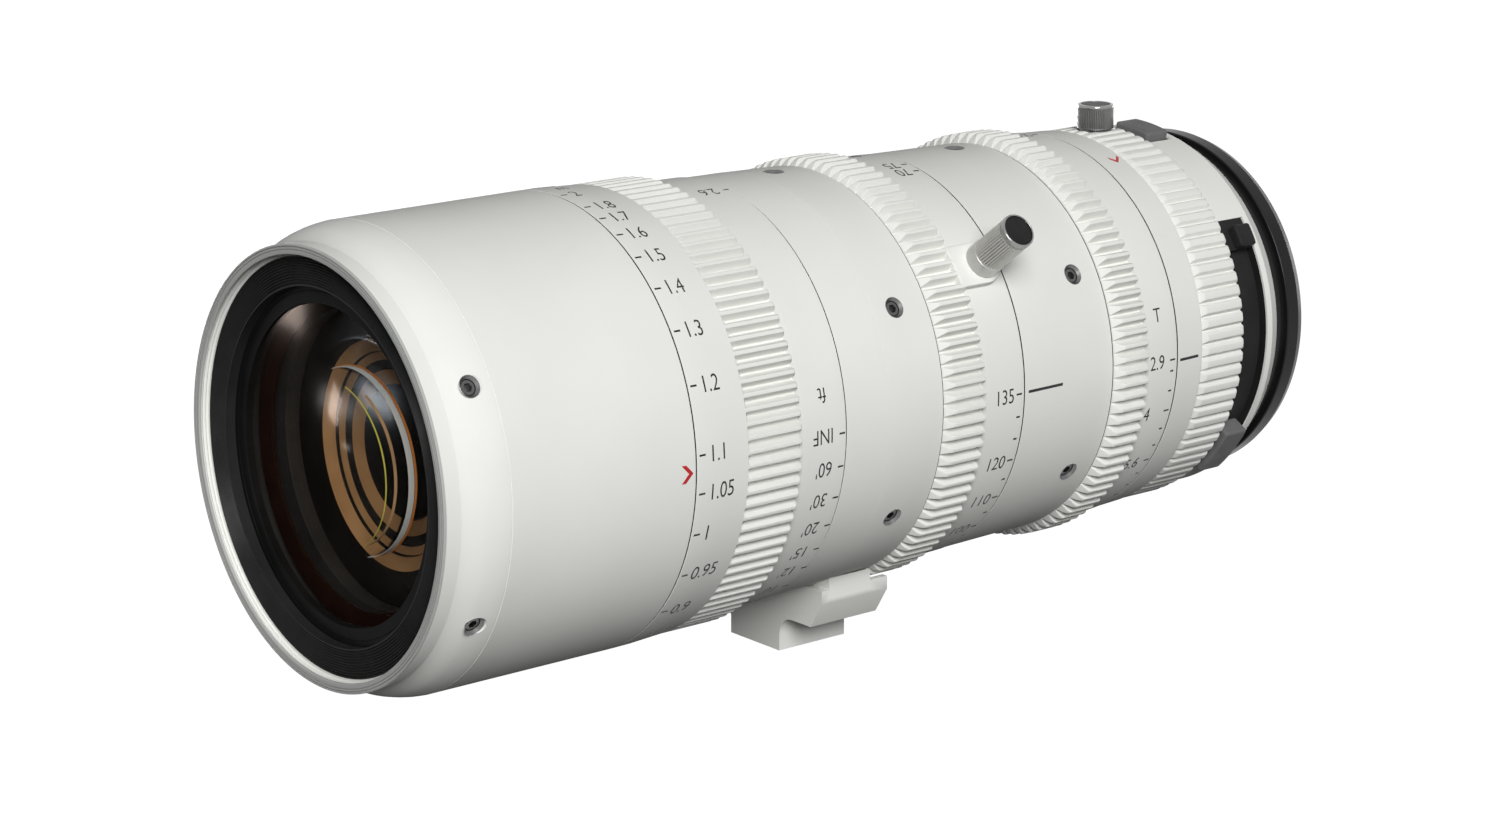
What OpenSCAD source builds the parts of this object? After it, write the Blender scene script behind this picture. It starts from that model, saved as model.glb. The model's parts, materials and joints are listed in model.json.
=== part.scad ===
// Cinema zoom lens with three geared rings, a support foot and a bayonet camera mount.
// The optical axis runs along Y, front glass towards -Y, camera side towards +Y, +Z up.
// The origin is the centre of the camera mount's flange face.
// Stations count rearwards from the front rim. Lengths are in millimetres.

/* [Main tube] */
// Outer radius of the main tube that carries the barrels and rings
tube_r = 37; // [36:0.1:38]
// Wall of the main tube
tube_wall = 2.2; // [1.9:0.1:2.4]
// Radial clearance of each piece that turns or slides in another
turn_fit = 0.05; // [0.02:0.01:0.09]
// Gap along the axis between a ring and its neighbours
ring_gap = 0.15; // [0.1:0.01:0.25]
// Edge break at the end of each barrel and ring
edge_break = 0.2; // [0.1:0.05:0.3]

/* [Section lengths] */
// Length of the front barrel
front_len = 51.5; // [49:0.5:56]
// Length of the focus ring
focus_len = 36.7; // [34:0.1:40]
// Length of the front middle barrel
mid_front_len = 24.1; // [22:0.1:27]
// Length of the zoom ring
zoom_len = 21.2; // [20:0.1:24]
// Length of the rear middle barrel
mid_rear_len = 23.7; // [22:0.1:27]
// Length of the iris ring
iris_len = 17.9; // [17:0.1:21]
// Length of the index band behind the iris ring
band_len = 7.3; // [6.5:0.1:9]
// Length of the back focus ring
back_len = 12.3; // [11:0.1:14]
// Length of the rear barrel
rear_len = 12.1; // [11:0.1:14]
// Length of the black mount collar
collar_len = 8.3; // [7:0.1:10]
// Thickness of the camera mount's flange plate
flange_t = 2.4; // [2:0.1:3.2]

/* [Barrels] */
// Height of the front barrel over the main tube
front_wall = 5.85; // [5.6:0.05:6.5]
// Height of the front rim over the main tube
rim_wall = 3; // [2.6:0.05:3.4]
// Length of the straight front rim
rim_len = 3.4; // [3:0.1:4.5]
// Length of the shoulder behind the front rim
shoulder_len = 9; // [7:0.5:11]
// Height of the front middle barrel over the main tube
mid_front_wall = 3.45; // [3.2:0.05:3.5]
// Height of the rear middle barrel over the main tube
mid_rear_wall = 2.5; // [2.3:0.05:2.7]
// Drop of a middle barrel's surface towards its rear end
mid_drop = 0.5; // [0.3:0.05:0.6]
// Height of the index band over the main tube
band_wall = 1.95; // [1.8:0.05:2.1]
// Height of the rear barrel over the main tube
rear_wall = 0.45; // [0.3:0.05:0.6]
// Drop of the rear tube below the main tube
rear_tube_drop = 3; // [2.8:0.1:3.2]
// Height of the lock ring over the rear tube
lock_wall = 1.5; // [1.2:0.05:1.6]
// Height of the lock ring's finger lugs over the rear barrel
lug_h = 1.95; // [1.2:0.05:2.4]
// Length of the windows in the rear barrel
window_len = 6.7; // [6:0.1:7.5]

/* [Geared rings] */
// Module of the gear teeth
gear_module = 0.8; // [0.7:0.05:0.85]
// Height of the focus gear's tips over the main tube
focus_tip = 5.4; // [5.2:0.05:5.5]
// Height of the zoom gear's tips over the main tube
zoom_tip = 4.3; // [4.1:0.05:4.5]
// Height of the iris gear's tips over the main tube
iris_tip = 3.8; // [3.7:0.05:4]
// Length of the focus ring in front of its gear
focus_lead = 12.2; // [11:0.1:14]
// Width of the focus gear
focus_gear_w = 12.9; // [11:0.1:14]
// Width of the zoom gear
zoom_gear_w = 9.9; // [9:0.1:11]
// Width of the iris gear
iris_gear_w = 8.5; // [7:0.1:9]
// Height of the focus scale over the main tube
focus_band = 3.75; // [3.6:0.05:4]
// Height of the zoom scale over the main tube
zoom_band = 2.8; // [2.7:0.05:3]
// Height of the iris scale over the main tube
iris_band = 2.2; // [2.1:0.05:2.4]
// Length of the run-out ramp at a gear's front end
gear_ramp = 2; // [1.5:0.1:2.5]
// Height of the back focus ring's ribs over the main tube
back_tip = 1.45; // [1.3:0.05:1.6]
// Depth of the grooves in the back focus ring
rib_depth = 0.9; // [0.6:0.05:1]
// Distance from rib to rib around the back focus ring
rib_pitch = 2.75; // [2.5:0.05:3]

/* [Zoom lever and lock knob] */
// Radius of the zoom lever's grip
lever_r = 3.45; // [3:0.05:3.7]
// Length of the zoom lever above its pad
lever_len = 12.6; // [9:0.1:14]
// Half width of the zoom lever's pad
pad_r = 4.3; // [4:0.05:4.5]
// Distance from the zoom gear's rear end to the lever's centre
lever_back = 5.8; // [5.2:0.1:6]
// Radius of the lock knob
knob_r = 3.7; // [3:0.05:4]
// Length of the lock knob above the back focus ring
knob_len = 5.2; // [4:0.1:6]
// Depth of the dark inlay in each knob
inlay_t = 0.6; // [0.4:0.05:0.8]
// Width of the bright rim around each inlay
inlay_rim = 0.45; // [0.3:0.05:0.6]

/* [Support foot] */
// Half width of the foot across its wings
foot_half_w = 20; // [18:0.2:21]
// Half width of the foot's lower block
block_half_w = 7.4; // [6.5:0.1:9]
// Distance from the barrel's surface down to the foot's lower face
foot_stand = 11.85; // [11:0.05:14]
// Length of the foot along the axis
foot_len = 16.5; // [15:0.1:17]
// Distance from the front of the middle barrel to the foot
foot_back = 11.8; // [11:0.1:12]
// Thread bore radius for a quarter inch support screw
support_hole_r = 2.55; // [2.5:0.05:2.6]
// Depth of the support screw hole
support_hole_depth = 7; // [6:0.1:8]

/* [Camera mount] */
// Radius of the bayonet spigot
spigot_r = 23; // [22:0.1:23.5]
// Length of the bayonet spigot
spigot_len = 5; // [4.5:0.1:6]
// Height of the bayonet lugs over the spigot
bayonet_h = 1.9; // [1.5:0.1:2.2]
// Thickness of a bayonet lug
bayonet_t = 1.3; // [1:0.1:1.6]
// Distance from the flange face to a bayonet lug
bayonet_back = 2.6; // [2.3:0.1:2.8]
// Distance from the bayonet lugs to the circle of mount screws
mount_screw_out = 2.7; // [2.5:0.1:3]
// Distance from the circle of mount screws to the flange plate's edge
flange_rim = 2.9; // [2.4:0.1:3.4]
// Radius of a mount screw's head
mount_head_r = 1.6; // [1.4:0.05:1.7]

/* [Front opening] */
// Wall of the front rim around the filter thread
filter_wall = 1.9; // [1.6:0.05:2]
// Depth from the front rim to the ridged trim ring
trim_depth = 2; // [1.8:0.1:2.6]
// Thickness of the trim ring
trim_t = 2.6; // [2.4:0.1:2.9]
// Step from the filter thread's bore down to the trim ring
trim_step = 0.4; // [0.3:0.05:0.6]
// Width of the trim ring's face
trim_w = 5.4; // [5:0.1:5.6]
// Depth from the trim ring's face to the retaining ring
retainer_step = 2.1; // [1.8:0.1:2.2]
// Width of the retaining ring's face
retainer_w = 3.3; // [2.8:0.1:3.6]
// Rise of the front glass above its edge
dome_rise = 2.3; // [2:0.1:2.5]

/* [Screws] */
// Radius of a barrel screw's head
screw_head_r = 1.5; // [1.3:0.05:1.6]
// Radius of a barrel screw's shank
screw_shank_r = 1; // [0.8:0.05:1.1]
// Radius of the countersink at a barrel's surface
sink_r = 2.05; // [1.9:0.05:2.3]
// Depth of a screw head below the barrel's surface
head_drop = 0.9; // [0.8:0.05:1.1]
// Radius of the hexagon socket in a screw head
socket_r = 0.85; // [0.7:0.05:0.9]

/* [Lens groups] */
// Wall of each turning sleeve inside the tube
sleeve_wall = 2; // [1.8:0.1:2.1]
// Gap between a turning sleeve and the fixed guide tube
sleeve_gap = 0.35; // [0.3:0.05:0.4]
// Wall of the fixed guide tube
guide_wall = 1.8; // [1.6:0.1:2]
// Radius of the guide pins and drive pins
pin_r = 1.5; // [1.3:0.05:1.6]
// Side clearance of a pin in its slot
slot_play = 0.35; // [0.3:0.05:0.4]
// Thickness of one iris blade
blade_t = 0.2; // [0.15:0.01:0.22]
// Distance from one iris blade's face to the next one's
blade_pitch = 0.33; // [0.3:0.01:0.36]

/* [Hidden] */
$fn = 96;
// A cut runs this far past the surface it opens
past = 0.6;

// Turning ranges in degrees
focus_near_turn = 100;
focus_far_turn = 175;
zoom_turn = 105;
iris_turn = 90;
back_turn = 15;
// Travel of each sliding group
variator_travel = 18;
compensator_travel = 6;
back_travel = 0.4;

// Stations from the front rim
s_focus = front_len;
s_mid_front = s_focus + focus_len;
s_zoom = s_mid_front + mid_front_len;
s_mid_rear = s_zoom + zoom_len;
s_iris = s_mid_rear + mid_rear_len;
s_band = s_iris + iris_len;
s_back = s_band + band_len;
s_rear = s_back + back_len;
s_collar = s_rear + rear_len;
s_flange = s_collar + collar_len;
lens_len = s_flange + flange_t;

// Radii of the shell
front_r = tube_r + front_wall;
rim_r = tube_r + rim_wall;
mid_front_r = tube_r + mid_front_wall;
mid_rear_r = tube_r + mid_rear_wall;
band_r = tube_r + band_wall;
rear_r = tube_r + rear_wall;
focus_tip_r = tube_r + focus_tip;
zoom_tip_r = tube_r + zoom_tip;
iris_tip_r = tube_r + iris_tip;
back_tip_r = tube_r + back_tip;
ring_bore_r = tube_r + turn_fit;
tooth_depth = 2.25 * gear_module;
tube_in_r = tube_r - tube_wall;
sleeve_r = tube_in_r - turn_fit;
sleeve_in_r = sleeve_r - sleeve_wall;
guide_r = sleeve_in_r - sleeve_gap;
guide_in_r = guide_r - guide_wall;
cell_r = guide_in_r - turn_fit;

// Main tube ends
tube_front_share = 0.5;
tube_rear_share = 0.4;
tube_front = rim_len + shoulder_len * tube_front_share;
tube_rear = s_back - band_len * tube_rear_share;
// Rear tube that carries the back focus ring and the lock ring
rear_tube_r = tube_r - rear_tube_drop;
rear_tube_in_r = rear_tube_r - tube_wall;
rear_cell_r = rear_tube_in_r - turn_fit;
lock_r = rear_tube_r + lock_wall;
lug_r = rear_r + lug_h;

// Radii of the front opening
filter_r = rim_r - filter_wall;
trim_r = filter_r - trim_step;
trim_in_r = trim_r - trim_w;
clear_r = trim_in_r - retainer_w;

// Radii of the camera mount
bayonet_r = spigot_r + bayonet_h;
mount_screw_pcr = bayonet_r + mount_screw_out;
flange_r = mount_screw_pcr + flange_rim;

// Angles around the axis, from +X towards +Z
screw_angles = [-30, 30, 90, 150, 210];
front_screw_angles = [-30, 30, 90, 150, 210, 270];
lever_angle = 37.4;
window_low = -50.5;
window_high = 38.5;
lug_low = -50;
lug_high = -30;
stop_low = 28.5;
stop_high = 35.5;
pin_angles = [20, 140, 260];
focus_pin_angle = 190;
zoom_pin_angle = 80;
iris_pin_angle = 80;
back_pin_angle = 0;
blade_count = 9;
blade_turn = 360 / blade_count;
blade_span = 112;
blade_root = 6;
tongue_half = 8;
tongue_play = 1.5;
focus_phase = 1.4;
zoom_phase = -0.2;
iris_phase = 0;
bayonet_angles = [10, 130, 250];
bayonet_half = 13;
mount_screw_angles = [45, 135, 225, 315];

// Local frame: x to the side, z rearwards along the axis from the front rim
module place() {
  translate([0, -lens_len, 0]) rotate([-90, 0, 0]) children();
}

// A turned piece from a profile of [radius, station] points
module turned(profile) {
  rotate_extrude() polygon(profile);
}

// Turned tube between two stations
module tube(r_out, r_in, s0, s1) {
  turned([[r_in, s0], [r_out, s0], [r_out, s1], [r_in, s1]]);
}

// Children stand out from the axis at an angle, a station and a radius
module radial(angle, s, r) {
  rotate([0, 0, -angle]) translate([r, 0, s]) rotate([0, 90, 0]) children();
}

// Part of a ring between two angles measured from +X towards +Z
module arc_ring(r_out, r_in, s0, s1, low, high) {
  rotate_extrude(angle = high - low, start = -high)
    polygon([[r_in, s0], [r_out, s0], [r_out, s1], [r_in, s1]]);
}

// One corner of a tooth seen along the axis
function tooth_point(r, half, turn) =
  [r * cos(turn) - half * sin(turn), r * sin(turn) + half * cos(turn)];

// Trapezoid teeth from a low to a high radius
module teeth(count, r_low, r_high, half_low, half_high, s0, s1) {
  points = [for (i = [0 : count - 1]) for (k = [0 : 3])
    tooth_point((k == 0 || k == 3) ? r_low : r_high,
      (k == 0) ? -half_low : (k == 1) ? -half_high : (k == 2) ? half_high : half_low,
      i * 360 / count)];
  translate([0, 0, s0]) linear_extrude(s1 - s0) polygon(points);
}

// Shape of the gear teeth
pressure_angle = 20;
half_tip_share = 0.45;

// Everything to cut away between the teeth of a gear, with a ramp at its front end
module gear_gaps(tip_r, s0, s1, ramp, phase) {
  count = round(2 * tip_r / gear_module) - 2;
  root_r = tip_r - tooth_depth;
  low_r = root_r - gear_module;
  high_r = tip_r + gear_module;
  slope = tan(pressure_angle);
  half_tip = gear_module * half_tip_share;
  difference() {
    turned([[root_r, s0 + ramp], [tip_r + past, s0 - ramp * past / tooth_depth],
      [tip_r + past, s1], [root_r, s1]]);
    rotate([0, 0, -phase]) teeth(count, low_r, high_r, half_tip + (tip_r - low_r) * slope,
      half_tip - (high_r - tip_r) * slope, s0 - 2 * ramp, s1 + past);
  }
}

// Hole for a countersunk barrel screw, cut inwards from a radius
module screw_hole(angle, s, r, r_bottom) {
  sink_t = head_drop * sink_share;
  seat = head_drop + screw_head_t;
  shank_r = screw_shank_r + turn_fit;
  head_r = screw_head_r + turn_fit;
  radial(angle, s, r) rotate([0, 0, seam_turn]) rotate_extrude() polygon([[0, r_bottom - r - past],
    [shank_r, r_bottom - r - past], [shank_r, -seat], [head_r, -seat], [head_r, -sink_t],
    [sink_r + past * (sink_r - screw_head_r) / sink_t, past], [0, past]]);
}

// Socket screw seated in such a hole
module screw(angle, s, r, r_bottom) {
  seat = r - head_drop - screw_head_t;
  difference() {
    union() {
      radial(angle, s, seat) cylinder(h = screw_head_t, r = screw_head_r);
      radial(angle, s, r_bottom) cylinder(h = seat - r_bottom, r = screw_shank_r);
    }
    radial(angle, s, seat + screw_head_t * (1 - socket_share))
      cylinder(h = screw_head_t, r = socket_r, $fn = 6);
  }
}

// Drive pin between two radii
module drive_pin(angle, s, r0, r1) {
  radial(angle, s, r0) cylinder(h = r1 - r0, r = pin_r);
}

// Arc slot that lets a drive pin turn with its ring
module arc_slot(pin_angle, s, low_turn, high_turn) {
  margin = asin((pin_r + slot_play) / tube_in_r);
  arc_ring(tube_r + past, tube_in_r - past, s - pin_r - slot_play, s + pin_r + slot_play,
    pin_angle + low_turn - margin, pin_angle + high_turn + margin);
}

// Stations of the drive pins, as shares of the ring or gear that they sit in
gear_pin_share = 0.6;
ring_pin_share = 0.5;
s_focus_pin = s_focus + focus_lead + focus_gear_w * ring_pin_share;
s_zoom_pin = s_zoom + zoom_gear_w * gear_pin_share;
s_iris_pin = s_iris + iris_gear_w * gear_pin_share;
s_back_pin = s_back + back_len * ring_pin_share;
// Depth of a drive pin's seat in its ring
pin_sink = 1.2;
focus_pin_sink = 2.1;
back_pin_sink = 2.4;

// Stations of the inner groups
cell_wall = 1.5;
sleeve_front = s_focus + 5 * cell_wall;
sleeve_rear = s_mid_front - cell_wall;
front_cell_rear = sleeve_front - 4 * cell_wall;
focus_cell_share = 0.6;
focus_cell_back_share = 0.3;
focus_cell_len = focus_len * focus_cell_share;
s_focus_cell = s_focus + focus_len * focus_cell_back_share;
cam_front = s_mid_front + 3 * cell_wall;
cam_rear = s_iris - 4 * cell_wall;
guide_front = cam_front - cell_wall;
guide_rear = cam_rear + 2 * cell_wall;
variator_share = 0.2;
s_variator = s_zoom + zoom_len * variator_share;
cell_len = 6 * pin_r;
s_compensator = s_variator + cell_len + 2 * pin_r;

// Places of the barrel screws
front_screw_share = 0.52;
front_screw_rise_share = 0.9;
mid_front_screw_share = 0.69;
mid_rear_screw_share = 0.73;
screw_drop_share = 0.6;
front_screw_s = rim_len + shoulder_len * front_screw_share;
mid_front_screw_s = s_mid_front + mid_front_len * mid_front_screw_share;
mid_rear_screw_s = s_mid_rear + mid_rear_len * mid_rear_screw_share;
front_screw_r = tube_r + front_wall * front_screw_rise_share;
mid_front_screw_r = mid_front_r - mid_drop * screw_drop_share;
mid_rear_screw_r = mid_rear_r - mid_drop * screw_drop_share;

// Shape of the screw heads
screw_head_share = 0.55;
screw_head_t = screw_head_r * screw_head_share;
sink_share = 0.6;
seam_turn = 71;
socket_share = 0.7;

// Black main tube inside every ring
module main_tube() {
  color([0.05, 0.05, 0.055]) place() difference() {
    tube(tube_r, tube_in_r, tube_front, tube_rear);
    for (a = front_screw_angles) radial(a, front_screw_s, tube_in_r - past)
      cylinder(h = tube_wall + 2 * past, r = screw_shank_r);
    for (a = screw_angles) for (s = [mid_front_screw_s, mid_rear_screw_s])
      radial(a, s, tube_in_r - past) cylinder(h = tube_wall + 2 * past, r = screw_shank_r);
    for (x = [-1, 1]) translate([x * foot_screw_x, 0, foot_screw_s]) rotate([-90, 0, 0])
      cylinder(h = foot_drop, r = screw_shank_r);
    arc_slot(focus_pin_angle, s_focus_pin, -focus_far_turn, focus_near_turn);
    arc_slot(zoom_pin_angle, s_zoom_pin, 0, zoom_turn);
    arc_slot(iris_pin_angle, s_iris_pin, 0, iris_turn);
  }
}

// White front barrel with its straight rim and rounded shoulder
module front_barrel() {
  rise = front_r - rim_r;
  shoulder = [for (i = [0 : len(shoulder_len_shares) - 1])
    [rim_r + rise * shoulder_rise_shares[i], rim_len + shoulder_len * shoulder_len_shares[i]]];
  color([0.88, 0.88, 0.86]) place() difference() {
    turned(concat([[filter_r, edge_break], [filter_r + edge_break, 0],
      [rim_r - 2 * edge_break, 0], [rim_r, 2 * edge_break], [rim_r, rim_len]], shoulder,
      [[front_r, s_focus - edge_break], [front_r - edge_break, s_focus], [tube_r, s_focus],
      [tube_r, trim_depth + trim_t], [trim_r, trim_depth + trim_t], [trim_r, trim_depth],
      [filter_r, trim_depth]]));
    for (a = front_screw_angles) screw_hole(a, front_screw_s, front_screw_r, tube_r);
    // Fine groove in the rim's face
    tube(rim_r - 4 * edge_break, rim_r - 5 * edge_break, -past, edge_break);
  }
}
shoulder_len_shares = [0.1, 0.28, 0.43, 0.57, 0.72, 0.88, 1];
shoulder_rise_shares = [0.08, 0.4, 0.64, 0.8, 0.91, 0.98, 1];

// Black trim ring with fine ridges on its face
module front_trim_ring() {
  step = trim_w / (ridge_count + 1);
  color([0.04, 0.04, 0.045]) place() difference() {
    tube(trim_r, trim_in_r, trim_depth, trim_depth + trim_t);
    for (i = [1 : ridge_count])
      tube(trim_r - i * step + step * ridge_share, trim_r - i * step - step * ridge_share,
        trim_depth - past, trim_depth + 2 * step * ridge_share);
  }
}
ridge_count = 10;
ridge_share = 0.2;

// Smooth black ring that holds the front glass
module front_retainer() {
  s0 = trim_depth + retainer_step;
  color([0.03, 0.03, 0.035]) place() difference() {
    turned([[clear_r, s0 + edge_break], [clear_r + edge_break, s0], [trim_in_r, s0],
      [trim_in_r, s_glass], [clear_r, s_glass]]);
    tube(clear_r + retainer_w * groove_out_share, clear_r + retainer_w * groove_in_share,
      s0 - past, s0 + edge_break);
  }
}
groove_out_share = 0.7;
groove_in_share = 0.62;
retainer_t = 1.7;
glass_edge = 6;
s_glass = trim_depth + retainer_step + retainer_t;
s_ledge = s_glass + glass_edge;

// Cell that holds the front glasses, with two tongues that guide the focus cell
module front_cell() {
  color([0.04, 0.04, 0.045]) place() {
      turned([[trim_in_r, trim_depth + trim_t], [tube_in_r, trim_depth + trim_t],
        [tube_in_r, front_cell_rear], [inner_r, front_cell_rear], [inner_r, s_inner],
        [clear_r - cell_wall, s_inner], [clear_r - cell_wall, s_ledge], [trim_in_r, s_ledge]]);
    for (a = [0, 180]) arc_ring(inner_r + cell_wall, inner_r, front_cell_rear - cell_wall,
      s_tongue, a - tongue_half, a + tongue_half);
  }
}
inner_r = clear_r + cell_wall / 2;
s_inner = s_ledge + 2 * cell_wall;
s_tongue = s_focus_cell + focus_cell_len / 2;
inner_glass_edge = 7;
glass_back_sag = 3;

// Front glass with its convex front face
module front_element() {
  // The dome's edge lies just behind the retaining ring's face
  s_edge = trim_depth + retainer_step + 2 * edge_break;
  dome_r = (clear_r * clear_r + dome_rise * dome_rise) / (2 * dome_rise);
  color([0.16, 0.12, 0.1, 0.5]) place() difference() {
    union() {
      intersection() {
        translate([0, 0, s_edge - dome_rise + dome_r]) sphere(r = dome_r);
        cylinder(h = s_glass, r = clear_r);
      }
      translate([0, 0, s_glass]) cylinder(h = glass_edge, r = trim_in_r);
    }
    translate([0, 0, s_ledge - glass_back_sag + dome_r]) sphere(r = dome_r);
  }
}

// Second glass of the front group
module inner_element() {
  dome_r = inner_r * glass_dome_share;
  color([0.16, 0.13, 0.1, 0.5]) place() difference() {
    translate([0, 0, s_inner]) cylinder(h = inner_glass_edge, r = inner_r);
    translate([0, 0, s_inner + glass_back_sag - dome_r]) sphere(r = dome_r);
  }
}
glass_dome_share = 2.6;

// Ring behind the second glass
module inner_retainer() {
  color([0.04, 0.04, 0.045]) place()
    tube(inner_r, inner_r - 2 * cell_wall, s_inner + inner_glass_edge,
      s_inner + inner_glass_edge + cell_wall);
}

// Countersunk socket screws that hold the barrels to the main tube
module barrel_screws() {
  color([0.35, 0.35, 0.36]) place() {
    for (a = front_screw_angles) screw(a, front_screw_s, front_screw_r, tube_in_r);
    for (a = screw_angles) {
      screw(a, mid_front_screw_s, mid_front_screw_r, tube_in_r);
      screw(a, mid_rear_screw_s, mid_rear_screw_r, tube_in_r);
    }
  }
}

// White focus ring with its gear and two scale bands
module focus_ring() {
  s0 = s_focus + ring_gap;
  s1 = s_mid_front - ring_gap;
  g0 = s_focus + focus_lead;
  g1 = g0 + focus_gear_w;
  band = tube_r + focus_band;
  color([0.88, 0.88, 0.86]) place() difference() {
    turned([[ring_bore_r, s0], [front_r - edge_break, s0], [front_r, s0 + edge_break],
      [focus_tip_r, g0],
      [focus_tip_r, g1 - 3 * edge_break], [focus_tip_r - 3 * edge_break, g1],
      [band + edge_break, g1], [band, s1 - edge_break], [band - edge_break, s1],
      [ring_bore_r, s1]]);
    gear_gaps(focus_tip_r, g0 + 2 * edge_break, g1 + past, gear_ramp, focus_phase);
    radial(focus_pin_angle, s_focus_pin, tube_r - past) cylinder(h = past + focus_pin_sink,
      r = pin_r);
  }
}

// Sleeve that turns with the focus ring inside the main tube
module focus_sleeve() {
  color([0.62, 0.5, 0.26]) place() difference() {
    tube(sleeve_r, sleeve_in_r, sleeve_front, sleeve_rear);
    radial(focus_pin_angle, s_focus_pin, sleeve_in_r - past)
      cylinder(h = sleeve_wall + 2 * past, r = pin_r);
  }
}

// Pin that joins the focus ring to its sleeve
module focus_drive_pin() {
  color([0.6, 0.6, 0.62]) place()
    drive_pin(focus_pin_angle, s_focus_pin, sleeve_in_r + turn_fit * 4,
      tube_r + focus_pin_sink);
}

// Sliding cell of the focus group
module focus_cell() {
  r_out = sleeve_in_r - turn_fit;
  color([0.05, 0.05, 0.055]) place() difference() {
    turned([[clear_r - 3 * cell_wall, s_focus_cell + 2 * cell_wall],
      [r_out - cell_wall, s_focus_cell + 2 * cell_wall], [r_out - cell_wall, s_focus_cell],
      [r_out, s_focus_cell], [r_out, s_focus_cell + focus_cell_len],
      [clear_r - cell_wall, s_focus_cell + focus_cell_len],
      [clear_r - cell_wall, s_focus_glass], [clear_r - 3 * cell_wall, s_focus_glass]]);
    for (a = [0, 180]) arc_ring(inner_r + cell_wall + slot_play, inner_r - slot_play,
      s_focus_cell - past, s_focus_cell + focus_cell_len - cell_wall,
      a - tongue_half - tongue_play, a + tongue_half + tongue_play);
  }
}

// Glass of the focus group
module focus_element() {
  edge = 5 * cell_wall;
  dome_r = clear_r * glass_dome_share;
  color([0.2, 0.2, 0.24, 0.5]) place() difference() {
    translate([0, 0, s_focus_glass]) cylinder(h = edge, r = clear_r - cell_wall);
    translate([0, 0, s_focus_glass + edge - glass_back_sag + dome_r]) sphere(r = dome_r);
  }
}
s_focus_glass = s_focus_cell + 4 * cell_wall;

// White front middle barrel
module mid_barrel_front() {
  s0 = s_mid_front;
  s1 = s_zoom;
  color([0.88, 0.88, 0.86]) place() difference() {
    turned([[tube_r, s0], [mid_front_r - edge_break, s0], [mid_front_r, s0 + edge_break],
      [mid_front_r - mid_drop * mid_front_drop_share, s0 + mid_front_len * mid_front_line_share],
      [mid_front_r - mid_drop, s1 - edge_break], [mid_front_r - mid_drop - edge_break, s1],
      [tube_r, s1]]);
    for (a = screw_angles) screw_hole(a, mid_front_screw_s, mid_front_screw_r, tube_r);
    for (x = [-1, 1]) translate([x * foot_screw_x, 0, foot_screw_s]) rotate([-90, 0, 0])
      cylinder(h = foot_drop, r = screw_shank_r);
  }
}
mid_front_drop_share = 0.25;
mid_front_line_share = 0.44;

// Places on the support foot; the local y axis points down
foot_screw_share = 0.6;
foot_screw_s_share = 0.45;
foot_saddle_share = 0.11;
foot_bevel_share = 0.835;
wing_top_share = -0.26;
wing_low_share = -0.04;
wing_under_share = 0.4;
foot_fillet_share = 0.31;
foot_drop = mid_front_r + foot_stand;
foot_screw_x = foot_half_w * foot_screw_share;
foot_screw_s = s_mid_front + foot_back + foot_len * foot_screw_s_share;
wing_under = mid_front_r + foot_stand * wing_under_share;
foot_seat_y = wing_under - screw_head_r;
foot_screw_y = sqrt(tube_in_r * tube_in_r - pow(foot_screw_x - screw_shank_r, 2)) + 4 * turn_fit;

// Support foot that hugs the underside of the front middle barrel
module support_foot() {
  s0 = s_mid_front + foot_back;
  s1 = s0 + foot_len;
  saddle0 = s0 + foot_len * foot_saddle_share;
  saddle1 = s_zoom - edge_break;
  wing_top = mid_front_r + foot_stand * wing_top_share;
  wing_low = mid_front_r + foot_stand * wing_low_share;
  fillet = foot_stand * foot_fillet_share;
  half = concat([[foot_half_w, wing_top], [foot_half_w, wing_low],
    [foot_half_w * foot_bevel_share, wing_under]],
    [for (a = [90 : -15 : 0]) [block_half_w + fillet - fillet * cos(a),
      wing_under + fillet - fillet * sin(a)]],
    [[block_half_w, foot_drop - edge_break], [block_half_w - edge_break, foot_drop]]);
  color([0.88, 0.88, 0.86]) place() difference() {
    union() {
      translate([0, 0, s0]) linear_extrude(foot_len) polygon(concat(half,
        [for (i = [len(half) - 1 : -1 : 0]) [-half[i][0], half[i][1]]]));
      translate([-foot_half_w, wing_top + foot_stand * wing_top_share, saddle0])
        cube([2 * foot_half_w, foot_stand * wing_under_share, saddle1 - saddle0]);
    }
    // Seat on the barrel, with room for the zoom ring behind it
    translate([0, 0, s0 - past]) cylinder(h = s_zoom - s0 + past, r = mid_front_r);
    translate([0, 0, s_zoom - edge_break]) cylinder(h = s1 - s_zoom + past,
      r = zoom_tip_r + 2 * edge_break);
    for (x = [-1, 1]) {
      translate([x * foot_screw_x, 0, foot_screw_s]) rotate([-90, 0, 0])
        cylinder(h = foot_drop, r = screw_shank_r);
      translate([x * foot_screw_x, foot_seat_y, foot_screw_s]) rotate([-90, 0, 0])
        cylinder(h = foot_drop, r = screw_head_r + 2 * turn_fit);
    }
    // Tapped bore for the support screw
    translate([0, foot_drop - support_hole_depth, s0 + foot_len * foot_screw_s_share])
      rotate([-90, 0, 0]) cylinder(h = support_hole_depth + past, r = support_hole_r);
  }
}

// Screws that hold the foot to the barrel
module foot_screws() {
  color([0.35, 0.35, 0.36]) place() for (x = [-1, 1])
    translate([x * foot_screw_x, 0, foot_screw_s]) difference() {
      union() {
        translate([0, foot_screw_y, 0]) rotate([-90, 0, 0])
          cylinder(h = foot_seat_y - foot_screw_y, r = screw_shank_r);
        translate([0, foot_seat_y, 0]) rotate([-90, 0, 0])
          cylinder(h = screw_head_t, r = screw_head_r);
      }
      translate([0, foot_seat_y + screw_head_t * (1 - socket_share), 0]) rotate([-90, 0, 0])
        cylinder(h = screw_head_r, r = socket_r, $fn = 6);
    }
}

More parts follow.
